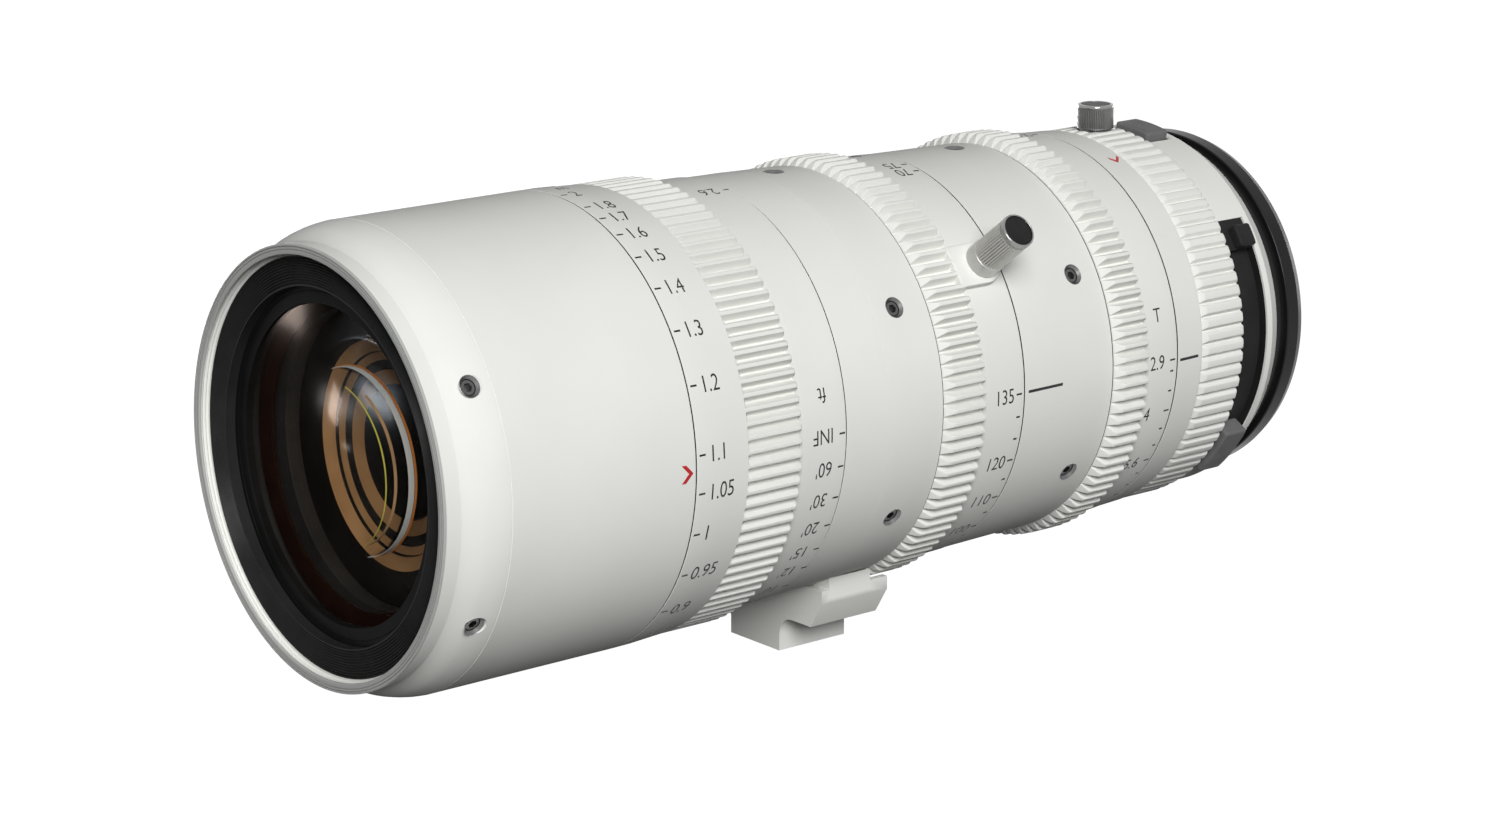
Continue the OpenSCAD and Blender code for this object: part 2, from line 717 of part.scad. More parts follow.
// White zoom ring with its gear and the pad of the zoom lever
module zoom_ring() {
  s0 = s_zoom + ring_gap;
  s1 = s_mid_rear - ring_gap;
  g1 = s_zoom + zoom_gear_w;
  band = tube_r + zoom_band;
  color([0.88, 0.88, 0.86]) place() difference() {
    union() {
      difference() {
        turned([[ring_bore_r, s0], [band, s0], [zoom_tip_r, s0 + gear_ramp],
          [zoom_tip_r, g1 - edge_break], [zoom_tip_r - edge_break, g1],
          [band + edge_break, g1], [band - edge_break, s1 - edge_break],
          [band - 2 * edge_break, s1], [ring_bore_r, s1]]);
        gear_gaps(zoom_tip_r, s0 - 2 * gear_ramp, g1 + past, gear_ramp, zoom_phase);
      }
      // Pad with a round end around the lever
      intersection() {
        tube(zoom_tip_r, ring_bore_r + sleeve_wall, g1 - gear_ramp, s1);
        union() {
          radial(lever_angle, s_lever, ring_bore_r) cylinder(h = tube_r, r = pad_r);
          rotate([0, 0, -lever_angle]) translate([ring_bore_r, -pad_r, g1 - gear_ramp])
            cube([tube_r, 2 * pad_r, s_lever - g1 + gear_ramp]);
        }
      }
    }
    radial(lever_angle, s_lever, zoom_tip_r - stud_len - turn_fit)
      cylinder(h = 2 * stud_len, r = pin_r);
    radial(zoom_pin_angle, s_zoom_pin, tube_r - past) cylinder(h = past + pin_sink, r = pin_r);
  }
}
s_lever = s_zoom + zoom_gear_w + lever_back;
// Length of the lever's threaded stud in the ring
stud_len = 2.4;

// Zoom lever: a plain collar, a grip and a bright rim around the inlay
module zoom_lever() {
  grip_r = lever_r - edge_break;
  grip0 = lever_len * lever_collar_share;
  grip1 = lever_len * lever_grip_share;
  color([0.6, 0.6, 0.6]) place() difference() {
    union() {
      radial(lever_angle, s_lever, zoom_tip_r - stud_len)
        cylinder(h = 2 * stud_len, r = pin_r);
      radial(lever_angle, s_lever, zoom_tip_r) rotate_extrude()
        polygon([[0, 0], [grip_r, 0], [lever_r, edge_break], [lever_r, grip0],
          [grip_r, grip0 + edge_break], [grip_r, grip1 - edge_break], [lever_r, grip1],
          [lever_r, lever_len - 2 * edge_break], [lever_r - 2 * edge_break, lever_len],
          [0, lever_len]]);
    }
    radial(lever_angle, s_lever, zoom_tip_r + lever_len - inlay_t)
      cylinder(h = inlay_t + past, r = lever_r - inlay_rim);
  }
}
lever_collar_share = 0.24;
lever_grip_share = 0.89;

// Black inlay in the end of the zoom lever
module zoom_lever_inlay() {
  color([0.04, 0.04, 0.045]) place()
    radial(lever_angle, s_lever, zoom_tip_r + lever_len - inlay_t)
      cylinder(h = inlay_t - turn_fit, r = lever_r - inlay_rim);
}

// Slot of one cam, made of short straight cuts along a helix
module cam_slot(angle, s, turn, travel) {
  steps = 14;
  span = turn / steps;
  mid_r = (sleeve_r + sleeve_in_r) / 2;
  arc = mid_r * span * PI / 180;
  climb = travel / steps;
  length = sqrt(arc * arc + climb * climb);
  for (i = [0 : steps - 1])
    rotate([0, 0, -angle + i * span + span / 2]) translate([mid_r, 0, s + i * climb + climb / 2])
      rotate([atan2(climb, arc), 0, 0])
        cube([2 * sleeve_wall, length + pin_r, 2 * (pin_r + slot_play)], center = true);
  for (i = [0, steps])
    radial(angle - i * span, s + i * climb, sleeve_in_r - past)
      cylinder(h = sleeve_wall + 2 * past, r = pin_r + slot_play);
}

// Sleeve with the cams that move both zoom groups
module zoom_cam_sleeve() {
  color([0.62, 0.5, 0.26]) place() difference() {
    tube(sleeve_r, sleeve_in_r, cam_front, cam_rear);
    radial(zoom_pin_angle, s_zoom_pin, sleeve_in_r - past)
      cylinder(h = sleeve_wall + 2 * past, r = pin_r);
    for (a = pin_angles) {
      cam_slot(a, s_variator, zoom_turn, -variator_travel);
      cam_slot(a, s_compensator, zoom_turn, compensator_travel);
    }
  }
}

// Pin that joins the zoom ring to the cam sleeve
module zoom_drive_pin() {
  color([0.6, 0.6, 0.62]) place()
    drive_pin(zoom_pin_angle, s_zoom_pin, sleeve_in_r + turn_fit * 4, tube_r + pin_sink);
}

// Fixed guide tube with straight slots for the pins of both zoom groups
module guide_tube() {
  color([0.05, 0.05, 0.055]) place() difference() {
    union() {
      tube(guide_r, guide_in_r, guide_front, guide_rear);
      tube(tube_in_r, guide_r - turn_fit, cam_rear + 3 * edge_break, guide_rear);
    }
    for (a = pin_angles) rotate([0, 0, -a])
      translate([guide_in_r - pin_r, -pin_r - slot_play, s_variator - variator_travel - 2 * pin_r])
        cube([3 * pin_r, 2 * (pin_r + slot_play),
          s_compensator - s_variator + variator_travel + compensator_travel + 4 * pin_r]);
  }
}

// Cell of a zoom group around the station of its pins
module zoom_cell(s) {
  difference() {
    union() {
      tube(cell_r, zoom_glass_r, s - cell_len / 2, s + cell_len / 2);
      tube(cell_r, zoom_glass_r - cell_wall, s - cell_len / 2, s - cell_len / 2 + cell_wall);
    }
    for (a = pin_angles) radial(a, s, cell_r - cell_wall) cylinder(h = 2 * cell_wall, r = pin_r);
  }
}
zoom_glass_r = cell_r - 2 * cell_wall;
zoom_glass_t = cell_len - 2 * cell_wall;

// Guide pins of a zoom group
module zoom_pins(s) {
  for (a = pin_angles) drive_pin(a, s, cell_r - cell_wall, sleeve_r - slot_play);
}

module variator_cell() {
  color([0.05, 0.05, 0.055]) place() zoom_cell(s_variator);
}

module variator_pins() {
  color([0.62, 0.5, 0.26]) place() zoom_pins(s_variator);
}

// Glass of the variator with a hollow rear face
module variator_element() {
  s0 = s_variator - cell_len / 2 + cell_wall;
  dome_r = zoom_glass_r * glass_dome_share;
  color([0.2, 0.2, 0.24, 0.5]) place() difference() {
    translate([0, 0, s0]) cylinder(h = zoom_glass_t, r = zoom_glass_r);
    translate([0, 0, s0 + zoom_glass_t - glass_back_sag + dome_r]) sphere(r = dome_r);
  }
}

module compensator_cell() {
  color([0.05, 0.05, 0.055]) place() zoom_cell(s_compensator);
}

module compensator_pins() {
  color([0.62, 0.5, 0.26]) place() zoom_pins(s_compensator);
}

// Glass of the compensator with a convex rear face
module compensator_element() {
  s0 = s_compensator - cell_len / 2 + cell_wall;
  dome_r = zoom_glass_r * glass_dome_share;
  color([0.2, 0.2, 0.24, 0.5]) place() intersection() {
    translate([0, 0, s0]) cylinder(h = zoom_glass_t, r = zoom_glass_r);
    translate([0, 0, s0 + zoom_glass_t - dome_r]) sphere(r = dome_r);
  }
}

// White rear middle barrel
module mid_barrel_rear() {
  s0 = s_mid_rear;
  s1 = s_iris;
  color([0.88, 0.88, 0.86]) place() difference() {
    turned([[tube_r, s0], [mid_rear_r - edge_break, s0], [mid_rear_r, s0 + edge_break],
      [mid_rear_r - mid_drop / 2, s0 + mid_rear_len / 2], [mid_rear_r - mid_drop, s1 - edge_break],
      [mid_rear_r - mid_drop - edge_break, s1], [tube_r, s1]]);
    for (a = screw_angles) screw_hole(a, mid_rear_screw_s, mid_rear_screw_r, tube_r);
  }
}

// White iris ring with its gear
module iris_ring() {
  s0 = s_iris + ring_gap;
  s1 = s_band - ring_gap;
  g1 = s_iris + iris_gear_w;
  band = tube_r + iris_band;
  color([0.88, 0.88, 0.86]) place() difference() {
    turned([[ring_bore_r, s0], [band, s0], [iris_tip_r, s0 + gear_ramp],
      [iris_tip_r, g1 - edge_break], [iris_tip_r - edge_break, g1], [band, g1],
      [band - edge_break, s1 - edge_break], [band - 2 * edge_break, s1], [ring_bore_r, s1]]);
    gear_gaps(iris_tip_r, s0 - 2 * gear_ramp, g1 + past, gear_ramp, iris_phase);
    radial(iris_pin_angle, s_iris_pin, tube_r - past)
      cylinder(h = past + iris_pin_sink, r = pin_r);
  }
}

// Stations and radii of the iris
iris_pin_sink = 1.1;
rotor_half_t = 2.1;
aperture_share = 0.5;
blade_w = 6.2;
s_rotor_rear = s_iris_pin + rotor_half_t;
s_blades = s_rotor_rear + blade_pitch;
s_plate = s_blades + (blade_count + 1) * blade_pitch;
aperture_r = tube_in_r * aperture_share;
blade_out_r = aperture_r + blade_w;
pivot_pin_r = 0.8;
pivot_r = blade_out_r + 2.5 * pivot_pin_r;

// Rotor that the iris ring turns to open and close the blades
module iris_rotor() {
  color([0.08, 0.08, 0.085]) place() difference() {
    tube(sleeve_r, aperture_r, s_iris_pin - rotor_half_t, s_rotor_rear);
    radial(iris_pin_angle, s_iris_pin, sleeve_r - pin_sink)
      cylinder(h = pin_sink + past, r = pin_r);
  }
}

// Pin that joins the iris ring to the rotor
module iris_drive_pin() {
  color([0.6, 0.6, 0.62]) place()
    drive_pin(iris_pin_angle, s_iris_pin, sleeve_r - pin_sink, tube_r + iris_pin_sink);
}

// Fixed plate with the pivot holes of the blades
module iris_plate() {
  color([0.05, 0.05, 0.055]) place() difference() {
    tube(tube_in_r, aperture_r, s_plate, s_plate + cell_wall);
    for (i = [0 : blade_count - 1]) rotate([0, 0, i * blade_turn])
      translate([pivot_r, 0, s_plate - past])
        cylinder(h = cell_wall + 2 * past, r = pivot_pin_r + turn_fit);
  }
}

// One iris blade with its pivot pin; each blade lies one pitch behind the last
module iris_blade(i) {
  s = s_blades + i * blade_pitch;
  color([0.1, 0.1, 0.11]) place() rotate([0, 0, i * blade_turn]) {
    arc_ring(blade_out_r, aperture_r + blade_t, s, s + blade_t, -blade_span, blade_root);
    translate([pivot_r, 0, s]) cylinder(h = blade_t, r = 2 * pivot_pin_r);
    translate([blade_out_r - blade_w / 2, -2 * pivot_pin_r, s])
      cube([pivot_r - blade_out_r + blade_w / 2, 4 * pivot_pin_r, blade_t]);
    translate([pivot_r, 0, s]) cylinder(h = s_plate + cell_wall / 2 - s, r = pivot_pin_r);
  }
}

// White band with the iris index line
module index_band() {
  color([0.88, 0.88, 0.86]) place() turned([[tube_r, s_band], [band_r - edge_break, s_band],
    [band_r, s_band + edge_break], [band_r - edge_break, s_back - edge_break],
    [band_r - 2 * edge_break, s_back], [rear_tube_r, s_back], [rear_tube_r, tube_rear],
    [tube_r, tube_rear]]);
}

// Black rear tube
module rear_tube() {
  color([0.05, 0.05, 0.055]) place() difference() {
    turned([[rear_tube_in_r, tube_rear - 4 * cell_wall], [tube_in_r, tube_rear - 4 * cell_wall],
      [tube_in_r, tube_rear], [rear_tube_r, tube_rear], [rear_tube_r, s_flange - cell_wall],
      [rear_tube_in_r, s_flange - cell_wall]]);
    arc_ring(rear_tube_r + past, rear_tube_in_r - past, s_back_pin - pin_r - slot_play,
      s_back_pin + pin_r + slot_play, back_pin_angle - back_slot_turn,
      back_pin_angle + back_slot_turn);
  }
}
back_slot_turn = back_turn + asin((pin_r + 2 * slot_play) / rear_tube_in_r);

// White back focus ring with straight ribs
module back_focus_ring() {
  s0 = s_back + ring_gap;
  s1 = s_rear - ring_gap;
  count = round(2 * PI * back_tip_r / rib_pitch);
  half = rib_pitch * rib_half_share;
  root_r = back_tip_r - rib_depth;
  color([0.88, 0.88, 0.86]) place() difference() {
    turned([[rear_tube_r + turn_fit, s0], [root_r, s0], [back_tip_r, s0 + gear_ramp],
      [back_tip_r, s1 - edge_break], [back_tip_r - edge_break, s1],
      [rear_tube_r + turn_fit, s1]]);
    difference() {
      tube(back_tip_r + past, root_r, s0 - past, s1 + past);
      teeth(count, root_r - rib_depth, back_tip_r + rib_depth,
        half + 2 * rib_depth * rib_slope_share, half - rib_depth * rib_slope_share,
        s0 - 2 * past, s1 + 2 * past);
      // Plain seat around the lock knob
      radial(90, s_knob, root_r) cylinder(h = knob_r, r = knob_r + 2 * edge_break);
    }
    radial(90, s_knob, rear_tube_r - past) cylinder(h = 2 * knob_len, r = knob_stem_r + turn_fit);
    radial(back_pin_angle, s_back_pin, rear_tube_r - past)
      cylinder(h = past + back_pin_sink, r = pin_r);
  }
}
rib_half_share = 0.3;
rib_slope_share = 0.3;
knob_share = 0.57;
knob_stem_share = 0.35;
s_knob = s_back + back_len * knob_share;
knob_stem_r = knob_r * knob_stem_share;
knob_seat_r = back_tip_r + turn_fit;
knob_gap_share = 0.27;
knob_stem_end_r = rear_tube_r + (knob_seat_r - rear_tube_r) * knob_gap_share;

// Pin that moves the rear cell from the back focus ring
module back_focus_pin() {
  color([0.6, 0.6, 0.62]) place()
    drive_pin(back_pin_angle, s_back_pin, rear_cell_r - pin_sink, rear_tube_r + back_pin_sink);
}

// Knurled lock knob with its stem
module lock_knob() {
  color([0.35, 0.35, 0.36]) place() difference() {
    union() {
      radial(90, s_knob, knob_stem_end_r)
        cylinder(h = knob_seat_r - knob_stem_end_r + edge_break, r = knob_stem_r);
      radial(90, s_knob, knob_seat_r) rotate_extrude()
        polygon([[0, 0], [knob_r - 2 * edge_break, 0], [knob_r, 2 * edge_break],
          [knob_r, knob_len - 2 * edge_break], [knob_r - 2 * edge_break, knob_len],
          [0, knob_len]]);
    }
    radial(90, s_knob, knob_seat_r + knob_len - inlay_t)
      cylinder(h = inlay_t + past, r = knob_r - 2 * inlay_rim);
  }
}

// Black inlay in the top of the lock knob
module lock_knob_inlay() {
  color([0.04, 0.04, 0.045]) place()
    radial(90, s_knob, knob_seat_r + knob_len - inlay_t)
      cylinder(h = inlay_t - turn_fit, r = knob_r - 2 * inlay_rim);
}

// Rear cell that the back focus ring shifts along the axis
module rear_cell() {
  r_in = rear_glass_r - 2 * cell_wall;
  s0 = s_band + 4 * cell_wall;
  slope = atan2(back_travel, rear_cell_r * back_turn * PI / 180);
  color([0.05, 0.05, 0.055]) place() difference() {
    turned([[r_in, s0 + cell_wall], [rear_cell_r - cell_wall, s0 + cell_wall],
      [rear_cell_r - cell_wall, s0], [rear_cell_r, s0], [rear_cell_r, s_rear_glass],
      [rear_glass_r, s_rear_glass], [rear_glass_r, s_rear_glass - rear_glass_t],
      [r_in, s_rear_glass - rear_glass_t]]);
    rotate([0, 0, -back_pin_angle]) translate([rear_cell_r, 0, s_back_pin]) rotate([slope, 0, 0])
      cube([6 * pin_r, rear_cell_r * 2 * back_slot_turn * PI / 180,
        2 * (pin_r + slot_play)], center = true);
  }
}
rear_glass_t = 6;
rear_glass_share = 0.625;
rear_glass_r = rear_cell_r * rear_glass_share;
s_rear_glass = s_collar - cell_wall;

// Rear glass with a convex rear face
module rear_element() {
  dome_r = rear_glass_r * glass_dome_share;
  color([0.2, 0.22, 0.26, 0.5]) place() intersection() {
    translate([0, 0, s_rear_glass - rear_glass_t]) cylinder(h = rear_glass_t, r = rear_glass_r);
    translate([0, 0, s_rear_glass - dome_r]) sphere(r = dome_r);
  }
}

// Black lock ring of the camera mount with raised finger lugs
module lock_ring() {
  s0 = s_rear + ring_gap;
  color([0.04, 0.04, 0.045]) place() {
    tube(lock_r, rear_tube_r + turn_fit, s0, s_seat - ring_gap);
    for (k = [0 : 2]) rotate([0, 0, -120 * k])
      arc_ring(lug_r, rear_tube_r + turn_fit, s0 + edge_break, s_window - ring_gap,
        lug_low, lug_high);
  }
}
s_window = s_rear + window_len;
s_seat = s_window + 4 * edge_break;

// White rear barrel with three windows over the lock ring
module rear_barrel() {
  s0 = s_rear + ring_gap;
  taper = rear_len * taper_share;
  bridge_r = lock_r + sleeve_gap;
  color([0.88, 0.88, 0.86]) place() {
    difference() {
      turned([[bridge_r, s0], [rear_r - edge_break, s0], [rear_r, s0 + edge_break],
        [rear_r, s_collar - taper], [rear_r - taper / 2, s_collar], [rear_tube_r, s_collar],
        [rear_tube_r, s_seat], [bridge_r, s_seat]]);
      for (k = [0 : 2]) rotate([0, 0, -120 * k])
        arc_ring(rear_r + past, rear_tube_r - past, s0 - past, s_window, window_low, window_high);
    }
    // Stops at the upper end of each window
    for (k = [0 : 2]) rotate([0, 0, -120 * k])
      arc_ring(lug_r, bridge_r, s_rear + window_len * stop_share, s_window, stop_low, stop_high);
  }
}
taper_share = 0.3;
stop_share = 0.45;

// Black collar between the rear barrel and the mount flange
module mount_collar() {
  groove_r = rear_tube_r + 2 * edge_break;
  bore_r = min(rear_tube_r * collar_bore_share, bayonet_r);
  outer_r = rear_r - rear_wall - lock_wall;
  lip0 = s_collar + collar_len * groove_len_share;
  color([0.04, 0.04, 0.045]) place() difference() {
    turned([[rear_tube_r, s_collar], [groove_r, s_collar], [groove_r, lip0],
      [outer_r - 2 * edge_break, lip0], [outer_r, lip0 + 2 * edge_break],
      [outer_r, s_flange - collar_len * lip_share],
      [outer_r - collar_len * lip_drop_share, s_flange], [bore_r, s_flange],
      [bore_r, s_flange - cell_wall], [rear_tube_r, s_flange - cell_wall]]);
    for (a = mount_screw_angles) rotate([0, 0, a])
      translate([mount_screw_pcr, 0, s_flange - 2 * cell_wall])
        cylinder(h = 3 * cell_wall, r = screw_shank_r);
  }
}
groove_len_share = 0.42;
lip_share = 0.22;
lip_drop_share = 0.1;
collar_bore_share = 0.732;

// Bright mount flange with the bayonet spigot and its lugs
module mount_flange() {
  bore_r = spigot_r - cell_wall;
  color([0.7, 0.7, 0.71]) place() difference() {
    union() {
      turned([[bore_r, s_flange], [flange_r - edge_break, s_flange],
        [flange_r, s_flange + edge_break], [flange_r, lens_len - edge_break],
        [flange_r - edge_break, lens_len], [spigot_r, lens_len],
        [spigot_r, lens_len + bayonet_back], [spigot_r - edge_break, lens_len + bayonet_back],
        [spigot_r - edge_break, lens_len + spigot_len - edge_break],
        [spigot_r - 2 * edge_break, lens_len + spigot_len], [bore_r, lens_len + spigot_len]]);
      for (a = bayonet_angles) arc_ring(bayonet_r, spigot_r - 2 * edge_break,
        lens_len + bayonet_back, lens_len + bayonet_back + bayonet_t,
        a - bayonet_half, a + bayonet_half);
    }
    for (a = mount_screw_angles) rotate([0, 0, a]) translate([mount_screw_pcr, 0, 0]) {
      translate([0, 0, s_flange - past]) cylinder(h = flange_t + 2 * past, r = screw_shank_r);
      translate([0, 0, lens_len - flange_t / 2])
        cylinder(h = flange_t, r = mount_head_r + 2 * turn_fit);
    }
  }
}

// Cross-slotted screws of the mount flange
module mount_screws() {
  color([0.5, 0.5, 0.51]) place() for (a = mount_screw_angles) rotate([0, 0, a])
    translate([mount_screw_pcr, 0, 0]) difference() {
      union() {
        translate([0, 0, s_flange - cell_wall]) cylinder(h = flange_t / 2 + cell_wall,
          r = screw_shank_r);
        translate([0, 0, lens_len - flange_t / 2])
          cylinder(h = flange_t * mount_head_share, r = mount_head_r);
      }
      translate([0, 0, lens_len]) {
        cube([mount_head_r, mount_head_r * cross_share, flange_t * cross_t_share], center = true);
        cube([mount_head_r * cross_share, mount_head_r, flange_t * cross_t_share], center = true);
      }
    }
}
mount_head_share = 0.4;
cross_share = 0.25;
cross_t_share = 0.5;

main_tube();
front_barrel();
front_trim_ring();
front_retainer();
front_cell();
front_element();
inner_element();
inner_retainer();
barrel_screws();
focus_ring();
focus_sleeve();
focus_drive_pin();
focus_cell();
focus_element();
mid_barrel_front();
support_foot();
foot_screws();
zoom_ring();
zoom_lever();
zoom_lever_inlay();
zoom_cam_sleeve();
zoom_drive_pin();
guide_tube();
variator_cell();
variator_element();
variator_pins();
compensator_cell();
compensator_element();
compensator_pins();
mid_barrel_rear();
iris_ring();
iris_rotor();
iris_drive_pin();
iris_plate();
iris_blade(0);  // iris_blade_1
iris_blade(1);  // iris_blade_2
iris_blade(2);  // iris_blade_3
iris_blade(3);  // iris_blade_4
iris_blade(4);  // iris_blade_5
iris_blade(5);  // iris_blade_6
iris_blade(6);  // iris_blade_7
iris_blade(7);  // iris_blade_8
iris_blade(8);  // iris_blade_9
index_band();
rear_tube();
back_focus_ring();
back_focus_pin();
lock_knob();
lock_knob_inlay();
rear_cell();
rear_element();
lock_ring();
rear_barrel();
mount_collar();
mount_flange();
mount_screws();
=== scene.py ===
"""Looks of the cinema zoom lens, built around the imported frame. Metres, optical axis along Y."""

import json
import math

import bmesh
import bpy
from mathutils import Matrix, Vector


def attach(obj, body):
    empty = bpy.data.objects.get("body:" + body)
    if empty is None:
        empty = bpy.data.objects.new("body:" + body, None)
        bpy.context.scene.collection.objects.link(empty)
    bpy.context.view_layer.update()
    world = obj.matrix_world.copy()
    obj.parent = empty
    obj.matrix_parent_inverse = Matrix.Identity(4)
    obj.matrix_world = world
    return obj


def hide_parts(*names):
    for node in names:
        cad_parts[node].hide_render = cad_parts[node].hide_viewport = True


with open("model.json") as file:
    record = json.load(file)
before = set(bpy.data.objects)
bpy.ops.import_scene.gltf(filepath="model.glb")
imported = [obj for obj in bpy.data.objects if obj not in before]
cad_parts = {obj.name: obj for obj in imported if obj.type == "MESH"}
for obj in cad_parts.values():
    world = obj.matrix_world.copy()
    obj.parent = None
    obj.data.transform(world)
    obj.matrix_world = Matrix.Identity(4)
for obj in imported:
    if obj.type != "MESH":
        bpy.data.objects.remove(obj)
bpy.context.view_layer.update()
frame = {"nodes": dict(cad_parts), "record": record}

MM = 0.001
LENS = 217.5  # from the front rim to the flange face, mm

# Stations along the lens, counted rearwards from the front rim, mm
S_FOCUS, S_MID_FRONT, S_ZOOM, S_MID_REAR = 51.5, 88.2, 112.3, 133.5
S_IRIS, S_BAND, S_BACK, S_REAR = 157.2, 175.1, 182.4, 194.7
S_COLLAR, S_FLANGE = 206.8, 215.1
GAP = 0.26  # seam beside a turning ring
SETBACK = 0.11  # of a fixed barrel's front edge behind its station

# Bores, mm
TUBE_R = 37.0  # of the barrels
RING_R = 37.05  # of the turning rings
REAR_R = 34.0  # of the parts on the rear tube
FILTER_R = 38.1  # inside the front rim

# Outer radii, mm
RIM_R, SHELL_R = 40.0, 42.85

# Barrel screws, each with its angle, its station and the radius of the surface there
SCREW_ANGLES = (-30, 30, 90, 150, 210)
FRONT_SCREWS = [(a, 8.08, 42.25) for a in (-30, 30, 150, 210)]
MID_FRONT_SCREWS = [(a, 104.5, 40.17) for a in SCREW_ANGLES]
MID_REAR_SCREWS = [(a, 150.8, 39.2) for a in SCREW_ANGLES]


# Geometry helpers

def pt(s, phi, r):
    """Point at a station, an angle in degrees from +X towards +Z and a radius, in metres."""
    a = math.radians(phi)
    return Vector((r * math.cos(a) * MM, (s - LENS) * MM, r * math.sin(a) * MM))


def outward(phi, s, r):
    """Matrix of a local frame that stands on the lens: z outwards, x rearwards, y along the turn."""
    a = math.radians(phi)
    z = Vector((math.cos(a), 0, math.sin(a)))
    x = Vector((0, 1, 0))
    y = z.cross(x)
    m = Matrix((x, y, z)).transposed().to_4x4()
    m.translation = pt(s, phi, r)
    return m


def rounded(points, steps=4):
    """Closed outline from (x, y, radius) corners, with an arc at each corner that has a radius."""
    out = []
    n = len(points)
    for i, p in enumerate(points):
        x, y = p[0], p[1]
        rad = p[2] if len(p) > 2 else 0
        if rad <= 0:
            out.append((x, y))
            continue
        a, b = Vector(points[i - 1][:2]), Vector(points[(i + 1) % n][:2])
        c = Vector((x, y))
        u, v = (a - c), (b - c)
        lu, lv = u.length, v.length
        u.normalize()
        v.normalize()
        half = math.acos(max(-1, min(1, u.dot(v)))) / 2
        if half > math.radians(89) or half < 1e-3:
            out.append((x, y))
            continue
        d = min(rad / math.tan(half), 0.48 * lu, 0.48 * lv)
        rr = d * math.tan(half)
        centre = c + (u + v).normalized() * (rr / math.sin(half))
        p0, p1 = c + u * d - centre, c + v * d - centre
        a0, a1 = math.atan2(p0.y, p0.x), math.atan2(p1.y, p1.x)
        while a1 - a0 > math.pi:
            a1 -= 2 * math.pi
        while a1 - a0 < -math.pi:
            a1 += 2 * math.pi
        for k in range(steps + 1):
            t = a0 + (a1 - a0) * k / steps
            out.append((centre.x + rr * math.cos(t), centre.y + rr * math.sin(t)))
    return out


def split_long(points, longest):
    """Adds points to an open or closed outline so that no side is longer than longest."""
    out = []
    n = len(points)
    for i, p in enumerate(points):
        q = points[(i + 1) % n]
        out.append(p)
        parts = int(math.hypot(q[0] - p[0], q[1] - p[1]) / longest)
        for k in range(1, parts + 1):
            t = k / (parts + 1)
            out.append((p[0] + (q[0] - p[0]) * t, p[1] + (q[1] - p[1]) * t))
    return out


def new_object(name, verts, faces):
    mesh = bpy.data.meshes.new(name)
    mesh.from_pydata([tuple(v) for v in verts], [], faces)
    bm = bmesh.new()
    bm.from_mesh(mesh)
    bmesh.ops.remove_doubles(bm, verts=bm.verts, dist=2e-7)
    bmesh.ops.dissolve_degenerate(bm, edges=bm.edges, dist=1e-7)
    bmesh.ops.recalc_face_normals(bm, faces=bm.faces)
    bm.to_mesh(mesh)
    bm.free()
    mesh.update()
    ob = bpy.data.objects.new(name, mesh)
    bpy.context.scene.collection.objects.link(ob)
    return ob


def shade(ob, angle):
    """Smooth shading with sharp edges above an angle; flats stay flat beside their bevels."""
    mesh = ob.data
    mesh.polygons.foreach_set("use_smooth", [True] * len(mesh.polygons))
    mesh.set_sharp_from_angle(angle=math.radians(angle))
    mod = ob.modifiers.new("weighted", "WEIGHTED_NORMAL")
    mod.keep_sharp = True
    mod.weight = 60


def evaluated_mesh(ob):
    """New mesh of an object, as its modifiers or its text make it."""
    bpy.context.view_layer.update()
    graph = bpy.context.evaluated_depsgraph_get()
    return bpy.data.meshes.new_from_object(ob.evaluated_get(graph))


def apply_modifiers(ob):
    mesh = evaluated_mesh(ob)
    old = ob.data
    ob.modifiers.clear()
    ob.data = mesh
    mesh.name = ob.name
    bpy.data.meshes.remove(old)
    return ob


def boolean(ob, cutters, operation="DIFFERENCE"):
    """Cuts or joins closed solids exactly and removes the helpers."""
    for c in cutters:
        mod = ob.modifiers.new("cut", "BOOLEAN")
        mod.operation = operation
        mod.solver = "EXACT"
        mod.object = c
    apply_modifiers(ob)
    for c in cutters:
        mesh = c.data
        bpy.data.objects.remove(c)
        bpy.data.meshes.remove(mesh)


def bevel(ob, width, segments):
    mod = ob.modifiers.new("bevel", "BEVEL")
    mod.width = width * MM
    mod.segments = segments
    mod.limit_method = "ANGLE"
    mod.angle_limit = math.radians(35)
    mod.use_clamp_overlap = True
    return apply_modifiers(ob)


def quads(rings, n, base=0, closed=False):
    """Faces between successive rings of n points, and back to the first ring where it is closed."""
    faces = []
    for k in range(rings if closed else rings - 1):
        a, b = base + k * n, base + (k + 1) % rings * n
        faces += [(a + i, a + (i + 1) % n, b + (i + 1) % n, b + i) for i in range(n)]
    return faces


def turned(r, s, a, matrix=None):
    """Point of a turned solid, at an angle in radians. With a matrix, s is a height on its z axis."""
    x, y = r * math.cos(a) * MM, r * math.sin(a) * MM
    if matrix is None:
        return Vector((x, (s - LENS) * MM, y))
    return matrix @ Vector((x, y, s * MM))


def lathe(name, outline, segments=360, matrix=None):
    """Closed solid of revolution. The outline is a closed loop of (radius, station) in mm."""
    verts = []
    for i in range(segments):
        verts += [turned(r, s, 2 * math.pi * i / segments, matrix) for r, s in outline]
    return new_object(name, verts, quads(segments, len(outline), closed=True))


